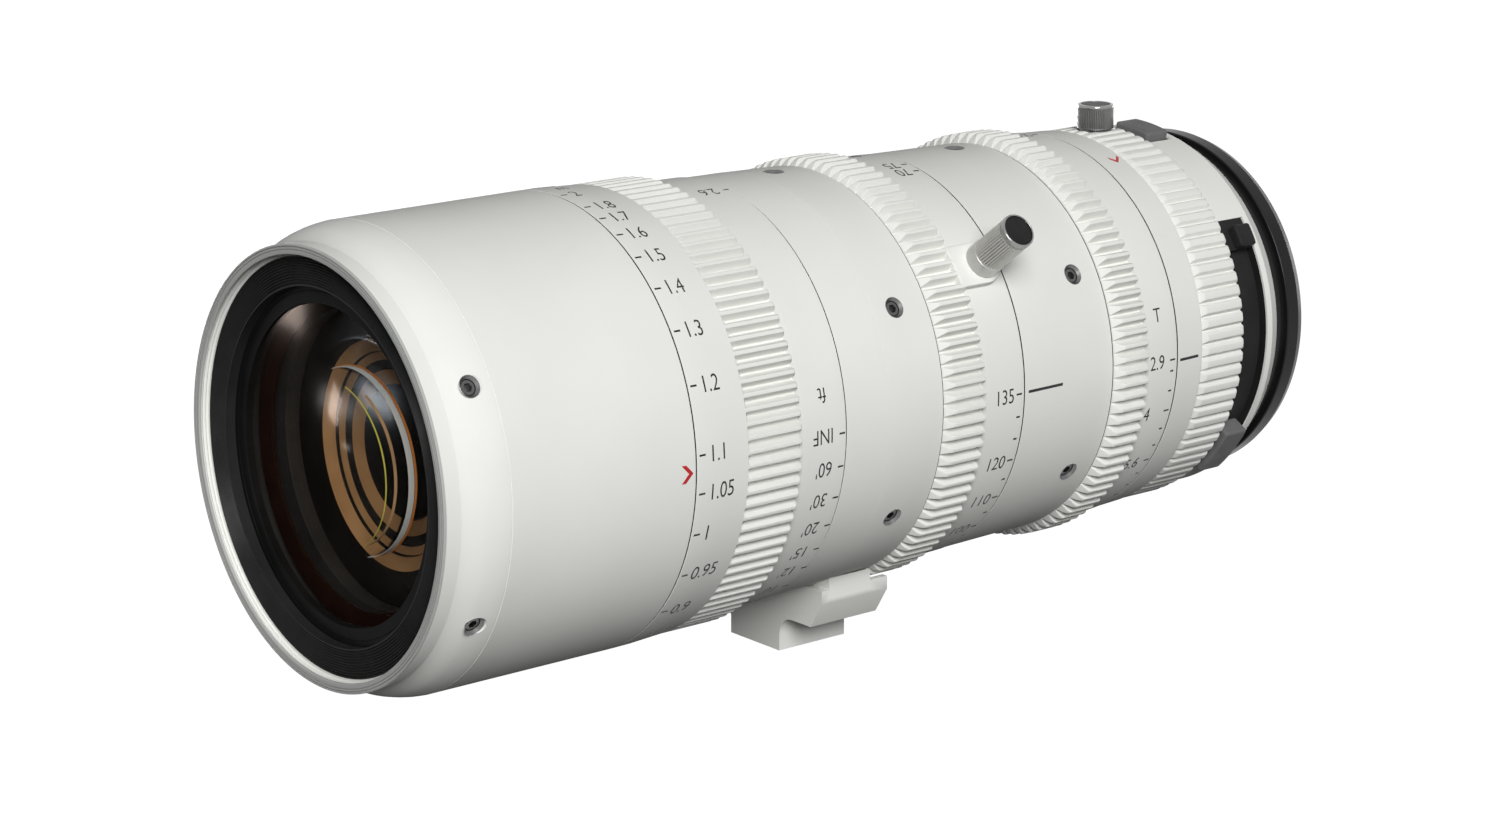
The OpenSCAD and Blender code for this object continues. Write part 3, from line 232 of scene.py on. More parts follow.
def disc_lathe(name, outline, segments=64, matrix=None):
    """Solid of revolution whose open outline starts and ends on the axis."""
    verts, faces = [], []
    inner = outline[1:-1]
    n = len(inner)
    for i in range(segments):
        a = 2 * math.pi * i / segments
        verts += [turned(r, s, a, matrix) for r, s in inner]
    first, last = len(verts), len(verts) + 1
    verts += [turned(0, outline[0][1], 0, matrix), turned(0, outline[-1][1], 0, matrix)]
    for i in range(segments):
        j = (i + 1) % segments
        for k in range(n - 1):
            faces.append((i * n + k, i * n + k + 1, j * n + k + 1, j * n + k))
        faces.append((first, i * n, j * n))
        faces.append((last, j * n + n - 1, i * n + n - 1))
    return new_object(name, verts, faces)


def arc_solid(name, outline, low, high, step=1.0):
    """Closed outline of (radius, station), swept round the axis between two angles."""
    verts = []
    n = len(outline)
    m = max(2, int(math.ceil((high - low) / step))) + 1
    for i in range(m):
        phi = low + (high - low) * i / (m - 1)
        verts += [pt(s, phi, r) for r, s in outline]
    faces = quads(m, n)
    faces.append(tuple(range(n)))
    faces.append(tuple((m - 1) * n + k for k in reversed(range(n))))
    return new_object(name, verts, faces)


def box_outline(r_in, r_out, s0, s1):
    return [(r_in, s0), (r_out, s0), (r_out, s1), (r_in, s1)]


def gear_ring(name, rows, count, phase, tip_r, half_tip, slope=20.0, bevel_w=0.13, fillet=0.22):
    """Ring whose outer rows carry teeth. A row is (station, top radius, root radius or None)."""
    pitch = 2 * math.pi / count
    tan = math.tan(math.radians(slope))
    verts = []

    def section(top, root):
        depth = 0 if root is None else top - root
        nominal = 1.2
        d = depth if depth > 0.03 else 0
        b = min(bevel_w, d * 0.25) if d else bevel_w
        f = min(fillet, d * 0.3) if d else fillet
        base = d if d else nominal

        def half(r):
            return (half_tip + (tip_r - r) * tan) / r

        low = top - base
        half_gap = pitch / 2
        points = [
            (half(top) - b / top, top),
            (half(top) - 0.25 * b / top, top - 0.28 * b),
            (half(top - b), top - b),
            (half(low + f), low + f),
            (half(low) + 0.12 * f / low, low + 0.28 * f),
            (min(half(low) + f / low, half_gap * 0.97), low),
        ]
        if not d:
            points = [(min(a, half_gap * 0.96), top) for a, _ in points]
        left = [(-a, r) for a, r in reversed(points)]
        mid_r = low if d else top
        return [(-half_gap, mid_r)] + left + [(0, top)] + points

    for s, top, root in rows:
        shape = section(top, root)
        for i in range(count):
            centre = math.radians(phase) + i * pitch
            for a, r in shape:
                verts.append(turned(r, s, centre + a))
    return new_object(name, verts, quads(len(rows), len(verts) // len(rows), closed=True))


def profile_radius(profile, s):
    """Radius at a station of an open profile of (station, radius)."""
    for (s_a, r_a), (s_b, r_b) in zip(profile, profile[1:]):
        if s <= s_b:
            return r_a + (r_b - r_a) * (s - s_a) / (s_b - s_a)
    return profile[-1][1]


TEXT_SQUEEZE = 0.82
DIGIT_HEIGHT = 0.69  # share of the font's size
STRIP = 0.5  # longest stretch of a mark round the lens, mm
MARK_FLATTEN, MARK_LIFT = 0.5, 0.008


def digits(text, height):
    """Flat mesh of a number or a word, centred on y = 0."""
    curve = bpy.data.curves.new("glyph", "FONT")
    curve.body = text
    curve.size = height / DIGIT_HEIGHT
    curve.align_x = "LEFT"
    curve.offset = -0.005 * height
    curve.extrude = 0.05
    curve.resolution_u = 5
    helper = bpy.data.objects.new("glyph", curve)
    bpy.context.scene.collection.objects.link(helper)
    mesh = evaluated_mesh(helper)
    bpy.data.objects.remove(helper)
    bm = bmesh.new()
    bm.from_mesh(mesh)
    bpy.data.meshes.remove(mesh)
    bmesh.ops.remove_doubles(bm, verts=bm.verts, dist=1e-4)
    for v in bm.verts:
        v.co.x *= TEXT_SQUEEZE
        v.co.y -= height / 2
    return bm


def tick(length, width):
    """Flat bar along x, centred on y = 0."""
    bm = bmesh.new()
    bmesh.ops.create_cube(bm, size=1.0)
    for v in bm.verts:
        v.co.x = (v.co.x + 0.5) * length
        v.co.y *= width
        v.co.z *= 0.1
    return bm


def wrap_marks(name, items, profile, body):
    """Numbers and ticks that follow a round surface of a given profile. An item is (mark, station,
    angle, flip) in mm and degrees, and a mark is (text, height) or (length, width)."""
    verts, faces = [], []
    for mark, s0, phi0, flip in items:
        bm = digits(*mark) if isinstance(mark[0], str) else tick(*mark)
        ys = [v.co.y for v in bm.verts]
        y = math.floor(min(ys) / STRIP) * STRIP + STRIP
        while y < max(ys):
            bmesh.ops.bisect_plane(bm, geom=bm.verts[:] + bm.edges[:] + bm.faces[:],
                                   dist=1e-5, plane_co=(0, y, 0), plane_no=(0, 1, 0))
            y += STRIP
        bm.verts.index_update()
        base = len(verts)
        sign = -1 if flip else 1
        for v in bm.verts:
            s = s0 + sign * v.co.x
            r = profile_radius(profile, s) + v.co.z * MARK_FLATTEN + MARK_LIFT
            verts.append(pt(s, phi0 + sign * math.degrees(v.co.y / r), r))
        for f in bm.faces:
            faces.append(tuple(base + v.index for v in f.verts))
        bm.free()
    finish_piece(new_object(name, verts, faces), body, ink, angle=None, slot="inlay_black")


def slot_name(mat):
    """Name of a material, less the suffix that Blender adds where the frame has that name too."""
    return mat.name.split(".")[0]


def finish_piece(ob, body, mat, replaces=(), angle=32, slot=None):
    """Gives a piece its material, shading and body, and hides the CAD nodes that it stands for.
    The slot, the one that the material is named after unless another is given, is not used."""
    slot = slot or slot_name(mat)
    ob.data.materials.clear()
    ob.data.materials.append(mat)
    if angle is not None:
        shade(ob, angle)
    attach(ob, body)
    if replaces:
        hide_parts(*replaces)


# Materials

def put(node, **values):
    """Sets sockets of a node by name, with an underscore for each space."""
    for name, value in values.items():
        node.inputs[name.replace("_", " ")].default_value = value


def blank_tree(owner, output):
    """Empties the node tree of a material or world and gives it an output."""
    owner.use_nodes = True
    nodes = owner.node_tree.nodes
    nodes.clear()
    return nodes, owner.node_tree.links, nodes.new(output)


def node_material(name):
    mat = bpy.data.materials.new(name)
    mat.use_nodes = True
    nodes, links = mat.node_tree.nodes, mat.node_tree.links
    shader = nodes["Principled BSDF"]
    return mat, nodes, links, shader


def noise(nodes, links, scale, detail, coords=None):
    tex = nodes.new("ShaderNodeTexNoise")
    put(tex, Scale=scale, Detail=detail)
    if coords is None:
        coords = nodes.new("ShaderNodeTexCoord").outputs["Object"]
    links.new(coords, tex.inputs["Vector"])
    return tex.outputs["Fac"]


def ramp(nodes, links, fac, stops):
    """Colour ramp with stops of (position, colour), where a plain number is a grey."""
    node = nodes.new("ShaderNodeValToRGB")
    e = node.color_ramp.elements
    while len(e) < len(stops):
        e.new(0.5)
    for i, (p, c) in enumerate(stops):
        e[i].position = p
        e[i].color = (c, c, c, 1) if isinstance(c, (int, float)) else (*c, 1)
    links.new(fac, node.inputs["Fac"])
    return node.outputs["Color"]


def bump(nodes, links, height, distance, strength=1.0, before=None):
    node = nodes.new("ShaderNodeBump")
    put(node, Distance=distance, Strength=strength)
    links.new(height, node.inputs["Height"])
    if before is not None:
        links.new(before, node.inputs["Normal"])
    return node.outputs["Normal"]


def surface(name, dark, light, rough, grain, depth, patch, specular=0.5):
    """Painted, anodised or moulded surface: patchy colour, patchy gloss and a fine grain."""
    mat, nodes, links, shader = node_material(name)
    patches = noise(nodes, links, patch, 4.0)
    links.new(ramp(nodes, links, patches, [(0.3, dark), (0.7, light)]), shader.inputs["Base Color"])
    gloss = noise(nodes, links, patch * 3.1, 3.0)
    links.new(ramp(nodes, links, gloss, [(0.3, rough[0]), (0.7, rough[1])]),
              shader.inputs["Roughness"])
    fine = noise(nodes, links, grain, 2.0)
    broad = noise(nodes, links, grain / 7, 2.0)
    first = bump(nodes, links, broad, depth * 3, 0.4)
    links.new(bump(nodes, links, fine, depth, 0.6, first), shader.inputs["Normal"])
    put(shader, Specular_IOR_Level=specular)
    return mat


def turned_metal(name, colour, rough, lines=9000.0, depth=4e-6):
    """Metal turned on a lathe, with fine lines round its axis."""
    mat, nodes, links, shader = node_material(name)
    coords = nodes.new("ShaderNodeTexCoord").outputs["Object"]
    sep = nodes.new("ShaderNodeSeparateXYZ")
    links.new(coords, sep.inputs[0])
    comb = nodes.new("ShaderNodeCombineXYZ")
    links.new(sep.outputs["Y"], comb.inputs["X"])
    line = noise(nodes, links, lines, 2.0, comb.outputs[0])
    smear = noise(nodes, links, 220.0, 3.0)
    dark = tuple(c * 0.86 for c in colour)
    links.new(ramp(nodes, links, smear, [(0.3, dark), (0.7, colour)]), shader.inputs["Base Color"])
    links.new(ramp(nodes, links, line, [(0.3, rough[0]), (0.7, rough[1])]),
              shader.inputs["Roughness"])
    links.new(bump(nodes, links, line, depth, 0.5), shader.inputs["Normal"])
    put(shader, Metallic=1.0)
    return mat


# Paints: name, dark and light colour, roughness, grain, its depth in metres, patches, specular level
white = surface("white_paint", (0.765, 0.77, 0.735), (0.8, 0.805, 0.77), (0.4, 0.47), 1500, 4e-6, 45, 0)
# Darker copy of the white paint for the rim's front face: painted shade
rim_painted_shade = surface("rim_painted_shade", (0.42, 0.425, 0.41), (0.46, 0.465, 0.445), (0.34, 0.4),
                    1500, 2e-6, 45, 0.06)
black = surface("black_anodised", 0.014, 0.022, (0.42, 0.52), 2200, 5e-6, 90, 0.03)
trim_black = surface("trim_black", 0.016, 0.024, (0.3, 0.38), 2600, 1e-6, 120, 0.05)
retainer_black = surface("retainer_black", 0.006, 0.01, (0.3, 0.38), 2600, 1e-6, 120, 0.02)
# Lighter grey copy of the lug black, standing for the sheen on the black lugs: painted sheen
lug_grey = surface("lug_grey", (0.12, 0.12, 0.122), (0.16, 0.16, 0.162), (0.48, 0.58),
                   1800, 9e-6, 110, 0.05)
lug_black = surface("lug_black", 0.016, 0.026, (0.48, 0.58), 1800, 9e-6, 110, 0.05)
collar_black = surface("collar_black", 0.006, 0.011, (0.24, 0.32), 2400, 1e-6, 80, 0.16)
ink = surface("scale_ink", (0.012, 0.012, 0.013), (0.02, 0.02, 0.021), (0.5, 0.6), 4000, 2e-6, 300, 0.3)
red_ink = surface("red_ink", (0.42, 0.016, 0.02), (0.5, 0.022, 0.028), (0.45, 0.55),
                  4000, 2e-6, 300, 0.3)
inlay_black = surface("inlay_black", 0.012, 0.02, (0.36, 0.44), 3000, 2e-6, 300, 0.08)
blade_black = surface("blade_black", (0.02, 0.02, 0.021), (0.03, 0.03, 0.032), (0.35, 0.45),
                      3000, 2e-6, 200, 0.5)
bronze = surface("baffle_bronze", (0.3, 0.185, 0.09), (0.4, 0.26, 0.13), (0.3, 0.42),
                 1400, 5e-6, 140, 0.05)
brown_lacquer = surface("brown_lacquer", (0.008, 0.004, 0.003), (0.014, 0.006, 0.004), (0.7, 0.8),
                        1400, 0, 140, 0)
pale_painted_reflection = surface("pale_painted_reflection", (0.55, 0.62, 0.66), (0.66, 0.7, 0.7), (0.35, 0.5),
                      1800, 6e-6, 160, 0.05)
orange_painted_reflection = surface("orange_painted_reflection", (0.6, 0.2, 0.05), (0.7, 0.28, 0.08), (0.35, 0.45),
                      1800, 6e-6, 160, 0.05)
green_painted_reflection = surface("green_painted_reflection", (0.36, 0.4, 0.06), (0.5, 0.42, 0.08), (0.35, 0.45),
                     1800, 6e-6, 160, 0.05)

# Turned metals: name, colour, roughness, lines to the metre, their depth in metres
knob_steel = turned_metal("knob_steel", (0.52, 0.515, 0.5), (0.3, 0.4), 2500, 1.5e-6)
dark_steel = turned_metal("dark_steel", (0.17, 0.17, 0.168), (0.3, 0.42), 2500, 1.5e-6)
rim_steel = turned_metal("rim_steel", (0.3, 0.3, 0.295), (0.14, 0.22), 2500, 1e-6)
screw_steel = turned_metal("screw_steel", (0.12, 0.12, 0.12), (0.3, 0.4), 2500, 1e-6)
pin_steel = turned_metal("pin_steel", (0.5, 0.5, 0.5), (0.25, 0.35))
mount_steel = turned_metal("mount_steel", (0.66, 0.66, 0.67), (0.2, 0.3))
brass = turned_metal("sleeve_brass", (0.62, 0.47, 0.2), (0.28, 0.38))


def coated_glass(name, tint, edge, share):
    """Coated lens surface: clear face on, with a tinted reflection that grows at a slant."""
    mat = bpy.data.materials.new(name)
    nodes, links, out = blank_tree(mat, "ShaderNodeOutputMaterial")
    gloss = nodes.new("ShaderNodeBsdfGlossy")
    put(gloss, Roughness=0.11)
    patches = noise(nodes, links, 30.0, 2.0)
    links.new(ramp(nodes, links, patches, [(0.35, tint), (0.65, edge)]), gloss.inputs["Color"])
    clear = nodes.new("ShaderNodeBsdfTransparent")
    put(clear, Color=(0.97, 0.95, 0.93, 1))
    mix = nodes.new("ShaderNodeMixShader")
    weight = nodes.new("ShaderNodeLayerWeight")
    put(weight, Blend=0.5)
    slant = [(0.0, 0.04 * share), (0.4, 0.065 * share), (0.6, 0.14 * share), (0.8, 0.4 * share),
             (1.0, min(1.0, 3.0 * share))]
    links.new(ramp(nodes, links, weight.outputs["Facing"], slant), mix.inputs["Fac"])
    links.new(clear.outputs[0], mix.inputs[1])
    links.new(gloss.outputs[0], mix.inputs[2])
    links.new(mix.outputs[0], out.inputs["Surface"])
    return mat


front_glass = coated_glass("front_glass", (1.0, 0.88, 0.8), (0.95, 0.8, 0.7), 0.01)
inner_glass = coated_glass("inner_glass", (0.78, 0.88, 1.0), (0.8, 0.86, 0.95), 0.02)
rear_glass = coated_glass("rear_glass", (0.45, 0.7, 0.8), (0.6, 0.5, 0.8), 0.3)

slot_materials = {slot_name(mat): mat for mat in (
    white, black, trim_black, front_glass, inner_glass, rear_glass, screw_steel, pin_steel, brass,
    knob_steel, dark_steel, inlay_black, lug_black, collar_black, mount_steel, blade_black)}
for row in frame["record"]["subparts"]:
    node_object = frame["nodes"][row["node"]]
    node_object.data.materials.clear()
    node_object.data.materials.append(slot_materials[row["material_slot"]])


# Front barrel

def screw_cutters(places, sink=2.05, head=1.55, seat=-0.55, floor=-1.85, clear=0.35):
    """Countersunk recesses for the barrel screws. Heights count outwards from the surface."""
    outline = [(0, floor), (head, floor), (head, seat), (sink, 0.0), (sink + clear, 0.6),
               (sink + clear, 1.2), (0, 1.2)]
    return [disc_lathe("cutter", outline, 40, outward(*place)) for place in places]


def socket_screws(places, head=1.44, top=-0.62, hex_r=0.86, floor=-1.5, under=-1.8, steps=24):
    """Cap screw heads with hexagon sockets, in one mesh."""
    verts, faces = [], []
    for phi, s, r in places:
        m = outward(phi, s, r)
        base = len(verts)
        loops = ((head, under, False), (head, top - 0.12, False), (head - 0.12, top, False),
                 (hex_r, top, True), (hex_r, floor, True))
        for radius, z, six in loops:
            for k in range(steps):
                a = 2 * math.pi * k / steps
                rr = radius
                if six:
                    rr = radius * math.cos(math.pi / 6) / math.cos((a % (math.pi / 3)) - math.pi / 6)
                verts.append(turned(rr, z, a, m))
        faces += quads(len(loops), steps, base)
        faces.append(tuple(base + k for k in range(steps)))
        faces.append(tuple(base + (len(loops) - 1) * steps + k for k in range(steps)))
    return new_object("barrel_screw_heads", verts, faces)


def barrel_shell(node, outline, screws=(), longest=2.5):
    """Fixed white barrel with the recesses of its screws."""
    shell = lathe(node + "_shell", split_long(rounded(outline), longest), 480)
    if screws:
        boolean(shell, screw_cutters(screws))
    finish_piece(shell, "barrel", white, [node])


shoulder = [(40.05, 3.55), (40.25, 4.3), (40.72, 5.15), (41.2, 6.0), (41.58, 6.7), (41.85, 7.3),
            (42.08, 7.95), (42.28, 8.7), (42.46, 9.4), (42.6, 10.1), (42.72, 10.8), (42.79, 11.5),
            (42.82, 11.9), (42.78, 11.95), (42.78, 12.03), (SHELL_R, 12.1), (SHELL_R, 13.2)]
TRIM_R, TRIM_BORE, TRIM_S, TRIM_REAR_S = 37.7, 32.3, 2.06, 4.6
THREAD_R = FILTER_R + 0.35
filter_bore = [(TRIM_R, 2.02), (FILTER_R, 2.02), (THREAD_R, 1.75), (FILTER_R, 1.4), (THREAD_R, 1.05),
               (FILTER_R, 0.7)]
barrel_shell("front_barrel", [(FILTER_R, 0.5), (RIM_R, 0.5), (RIM_R, 3.4)] + shoulder
             + [(SHELL_R, S_FOCUS, 0.16), (TUBE_R, S_FOCUS), (TUBE_R, TRIM_REAR_S),
                (TRIM_R, TRIM_REAR_S)] + filter_bore, FRONT_SCREWS, 3.0)

outline = rounded([(FILTER_R, 0.0, 0.2), (38.9, 0.0), (38.94, 0.2), (39.06, 0.2), (39.1, 0.0),
                   (39.4, 0.0), (39.44, 0.24), (39.58, 0.24), (39.62, 0.0), (RIM_R, 0.0, 0.3),
                   (RIM_R, 0.5), (FILTER_R, 0.5)])
# Front face of the rim in the darker copy of the white paint: painted shade
finish_piece(lathe("front_rim_face", outline, 480), "barrel", rim_painted_shade, slot="white_paint")

# Ridged trim ring inside the rim
RIDGES, RIDGE_PITCH = 10, 0.5
VALLEY_S = TRIM_S + 0.36
outline = [(TRIM_R, TRIM_S)]
for k in range(RIDGES):
    r = TRIM_R - 0.2 - RIDGE_PITCH * k
    outline += [(r, TRIM_S), (r - 0.2, VALLEY_S), (r - 0.25, VALLEY_S), (r - 0.45, TRIM_S)]
outline += [(TRIM_BORE, TRIM_S), (TRIM_BORE, TRIM_REAR_S), (TRIM_R, TRIM_REAR_S)]
trim = lathe("front_trim_ring_ridged", outline, 300)
finish_piece(trim, "barrel", trim_black, ["front_trim_ring"], angle=20)

# Smooth retaining ring round the glass, with a fine groove
GLASS_R, RETAINER_S, RETAINER_REAR_S = 29.0, 4.1, 5.8
GROOVE_S = RETAINER_S + 0.15
outline = rounded([(GLASS_R, RETAINER_S, 0.12), (31.1, RETAINER_S), (31.16, GROOVE_S), (31.3, GROOVE_S),
                   (31.36, RETAINER_S), (TRIM_BORE, RETAINER_S, 0.1), (TRIM_BORE, RETAINER_REAR_S),
                   (GLASS_R, RETAINER_REAR_S)])
retainer = lathe("front_retainer_ring", outline, 300)
finish_piece(retainer, "barrel", retainer_black, ["front_retainer"], slot="trim_black")


# Front optics: the cemented front group, the second element and the stepped baffle behind them

DOME_S, DOME_RISE = 2.2, 2.3
SEAT_R, CELL_R = 32.2, 29.7
HOLLOW_R, HOLLOW_S, HOLLOW_RIM_S = 16.74, 6.3, 9.75
SECOND_R, SECOND_S, SECOND_RISE = 22.0, 10.9, 1.3


def bowl(radius, s_centre, rise, steps=24):
    """Outline points of a curved glass surface, from the axis outwards."""
    return [(radius * k / steps, s_centre + rise * (k / steps) ** 2) for k in range(steps + 1)]


def inner_ring(name, outline, slot, mat):
    """Turned ring behind the front glass."""
    finish_piece(lathe(name, outline, 240), "barrel", mat, slot=slot)


def painted_reflection_arc(name, r, s0, s1, mat, low=-78, high=112, skin=0.08):
    """Arc of colour on the edge of a cemented glass, only on the side towards the index: a painted
    reflection.
    """
    finish_piece(arc_solid(name, box_outline(r, r + skin, s0, s1), low, high, 1.5), "barrel", mat,
                 slot="sleeve_brass")


hollow = bowl(HOLLOW_R, HOLLOW_S, HOLLOW_RIM_S - HOLLOW_S)
group = disc_lathe("front_glass_dome", bowl(GLASS_R, DOME_S, DOME_RISE)
                   + [(GLASS_R, RETAINER_REAR_S), (SEAT_R, RETAINER_REAR_S), (SEAT_R, 7.6),
                      (24.0, 7.8), (HOLLOW_R, 8.0)]
                   + hollow[::-1], 240)
finish_piece(group, "barrel", front_glass, ["front_element"])

second_rear = bowl(SECOND_R, SECOND_S + 1.4, 1.7)
element = disc_lathe("second_element", bowl(SECOND_R, SECOND_S, SECOND_RISE)
                     + [(CELL_R, 12.2), (CELL_R, 14.0)] + second_rear[::-1], 240)
finish_piece(element, "barrel", inner_glass, ["inner_element"])

# Arcs of colour on one side of the glass edges and the cement line: painted reflections
painted_reflection_arc("group_edge_painted_reflection", HOLLOW_R + 0.25, 8.5, 9.7, pale_painted_reflection)
painted_reflection_arc("group_orange_reflection", HOLLOW_R + 0.4, 9.75, 10.2, orange_painted_reflection)
painted_reflection_arc("cement_tan_reflection", 14.8, 7.0, 7.6, bronze, -66, 66)
painted_reflection_arc("cement_green_reflection", 15.2, 4.9, 5.15, green_painted_reflection, -60, 78)
inner_ring("cell_lip", [(27.3, 8.7), (29.2, 8.3), (31.0, 8.3), (31.0, 9.2), (27.3, 9.2)], "trim_black",
           brown_lacquer)

# Stepped baffle with three satin lands: (name, outer radius, station, inner radius, station)
LANDS = (("outer", 21.0, 15.6, 18.6, 16.8), ("middle", 18.35, 17.4, 16.9, 17.8),
         ("inner", 15.05, 18.1, 12.4, 18.9))
profile = [(29.6, 15.4)]
for name, r0, s0, r1, s1 in LANDS:
    profile += [(r0 + 0.05, s0 + 0.06), (r1 - 0.05, s1 + 0.06)]
    inner_ring("baffle_land_" + name, [(r0, s0), (r1, s1), (r1, s1 + 0.12), (r0, s0 + 0.12)],
               "sleeve_brass", bronze)
inner_ring("baffle", profile + [(11.2, 36.0), (12.8, 36.0), (29.6, 18.7)], "trim_black", retainer_black)


# Focus ring

def run_out(s0, s1, top, root, steps=6):
    """Rows of a cutter's run-out, from the surface down to the root."""
    rows = []
    for k in range(1, steps + 1):
        t = k / steps
        rows.append((s0 + (s1 - s0) * t, top, top - (top - root) * math.sin(t * math.pi / 2)))
    return rows


HALF_TIP = 0.38  # half the width of a tooth's tip
F_TEETH, F_GEAR, F_END, F_TIP, F_ROOT = 104, 63.72, 76.62, 42.4, 40.6
s0, s1 = S_FOCUS + GAP, S_MID_FRONT - GAP
rows = [(F_GEAR, RING_R, None), (F_GEAR, F_TIP, None)]
rows += run_out(F_GEAR + 0.08, 65.6, F_TIP, F_ROOT)
rows += [(s, r, F_ROOT) for s, r in ((70.0, F_TIP), (75.9, F_TIP), (76.15, 42.28), (76.45, 41.95),
                                     (76.58, 41.6), (76.6, 41.2), (F_END, 40.9))]
rows.append((F_END, RING_R, None))
focus = gear_ring("focus_ring_geared", rows, F_TEETH, 1.4, F_TIP, HALF_TIP)
finish_piece(focus, "focus_ring", white, ["focus_ring"])


def plain_band(name, body, profile):
    """Smooth part of a ring: an outer profile of (radius, station), closed at the bore."""
    outline = [(RING_R, profile[0][1])] + profile + [(RING_R, profile[-1][1])]
    finish_piece(lathe(name, split_long(outline, 2.5), 480), body, white)


def rear_edge(radius, s):
    """Soft rear edge of a band."""
    return [(radius, s - 0.18), (radius - 0.05, s - 0.05), (radius - 0.17, s)]


plain_band("focus_front_band", "focus_ring", [(42.68, s0), (42.8, s0 + 0.06), (SHELL_R, s0 + 0.18),
                                              (42.8, 56.0), (42.46, 62.5), (F_TIP, F_GEAR)])
plain_band("focus_rear_band", "focus_ring", [(40.93, F_END), (40.87, 80.0), (40.8, 84.0)]
           + rear_edge(40.75, s1))


# Middle barrels

s0 = S_MID_FRONT + SETBACK
barrel_shell("mid_barrel_front", [(TUBE_R, s0), (40.5, s0, 0.05), (40.36, 98.9), (40.31, 98.97),
                                  (40.31, 99.05), (40.34, 99.12), (40.15, 105.5),
                                  (39.95, S_ZOOM, 0.06), (TUBE_R, S_ZOOM)], MID_FRONT_SCREWS)
s0 = S_MID_REAR + SETBACK
barrel_shell("mid_barrel_rear", [(TUBE_R, s0), (39.5, s0, 0.05), (39.25, 145.3),
                                 (39.0, S_IRIS, 0.06), (TUBE_R, S_IRIS)], MID_REAR_SCREWS)


# Screws of the barrels: socket heads in dark countersunk cups

screw_places = FRONT_SCREWS + MID_FRONT_SCREWS + MID_REAR_SCREWS
finish_piece(socket_screws(screw_places), "barrel", screw_steel, ["barrel_screws"], angle=30)
cup_outline = [(2.05, 0.0), (1.54, -0.56), (1.54, -0.9), (1.46, -0.9), (1.46, -0.5), (1.96, 0.04)]
for i, place in enumerate(screw_places):
    cup = lathe("screw_cup_%d" % (i + 1), cup_outline, 48, outward(*place))
    finish_piece(cup, "barrel", dark_steel)


# Zoom ring and lever

def front_open_gear(s_start, top_band, tip, root, s_full, s_end, band):
    """Rows of a ring whose gear is open at its front end."""
    s0 = s_start + GAP
    return [(s0, RING_R, None), (s0, root - 0.05, None), (s0 + 0.01, top_band - 0.15, root),
            (s0 + 0.12, top_band + 0.02, root),
            (s0 + 0.5 * (s_full - s0), top_band + 0.62 * (tip - top_band), root),
            (s_full - 0.25, tip - 0.07, root), (s_full + 0.1, tip, root),
            (0.5 * (s_full + s_end), tip, root), (s_end - 0.35, tip, root),
            (s_end - 0.12, tip - 0.1, root), (s_end, tip - 0.3, root),
            (s_end + 0.01, band + 0.25, root), (s_end + 0.03, band, root), (s_end + 0.03, RING_R, None)]


Z_TEETH, Z_END, Z_TIP, Z_BAND = 101, 122.15, 41.3, 39.85
rows = front_open_gear(S_ZOOM, 39.9, Z_TIP, 39.5, 114.5, Z_END, Z_BAND)
zoom = gear_ring("zoom_ring_geared", rows, Z_TEETH, -0.2, Z_TIP, HALF_TIP)
finish_piece(zoom, "zoom_ring", white, ["zoom_ring"])
plain_band("zoom_band", "zoom_ring", [(Z_BAND, Z_END + 0.03), (39.82, 124.2), (39.735, 128.8)]
           + rear_edge(39.62, S_MID_REAR - GAP))

LEVER_S, LEVER_PHI = 128.0, 37.4


def lever_pad():
    """Pad of the lever: flush with the tooth tips, round at its rear end."""
    half_w, front_x, centre_x, sides = 4.3, -6.9, -1.3, 32
    levels = (38.6, Z_TIP)
    m = outward(LEVER_PHI, LEVER_S, 0)
    loop = []
    for k in range(sides + 1):
        a = -math.pi / 2 + math.pi * k / sides
        loop.append((half_w * math.cos(a), half_w * math.sin(a)))
    dense = split_long(loop + [(front_x, half_w), (front_x, -half_w)], 0.9)
    n = len(dense)
    verts = []

    def on_level(x, y, r):
        verts.append(m @ Vector((x * MM, y * MM, math.sqrt(r * r - y * y) * MM)))
        return len(verts) - 1

    edges = [[on_level(x, y, r) for x, y in dense] for r in levels]
    faces = quads(2, n)
    for previous, r in zip(edges, levels):
        for t in (0.75, 0.5, 0.25):
            current = [on_level(x * t + centre_x * (1 - t), y * t, r) for x, y in dense]
            for k in range(n):
                l = (k + 1) % n
                faces.append((previous[k], previous[l], current[l], current[k]))
            previous = current
        centre = on_level(centre_x, 0, r)
        for k in range(n):
            faces.append((previous[k], previous[(k + 1) % n], centre))
    return bevel(new_object("zoom_lever_pad", verts, faces), 0.3, 3)


finish_piece(lever_pad(), "zoom_ring", white)


def knurled(name, radius, z0, z1, matrix, ridges, rows_n, depth):
    """Cylinder with straight knurls that fade out at its plain closed ends."""
    verts = []
    per_ridge = 4
    cols = ridges * per_ridge
    for k in range(rows_n + 1):
        z = z0 + (z1 - z0) * (k / rows_n)
        fade = min(1, min(k, rows_n - k) / 2)
        for i in range(cols):
            height = min((1 - abs(i / per_ridge % 1 - 0.5) * 2) * 1.6, 1.0)
            verts.append(turned(radius - depth * (1 - height) * fade, z, 2 * math.pi * i / cols, matrix))
    faces = quads(rows_n + 1, cols)
    for k, z in ((0, z0), (rows_n, z1)):
        verts.append(turned(0, z, 0, matrix))
        for i in range(cols):
            faces.append((k * cols + i, k * cols + (i + 1) % cols, len(verts) - 1))
    return new_object(name, verts, faces)


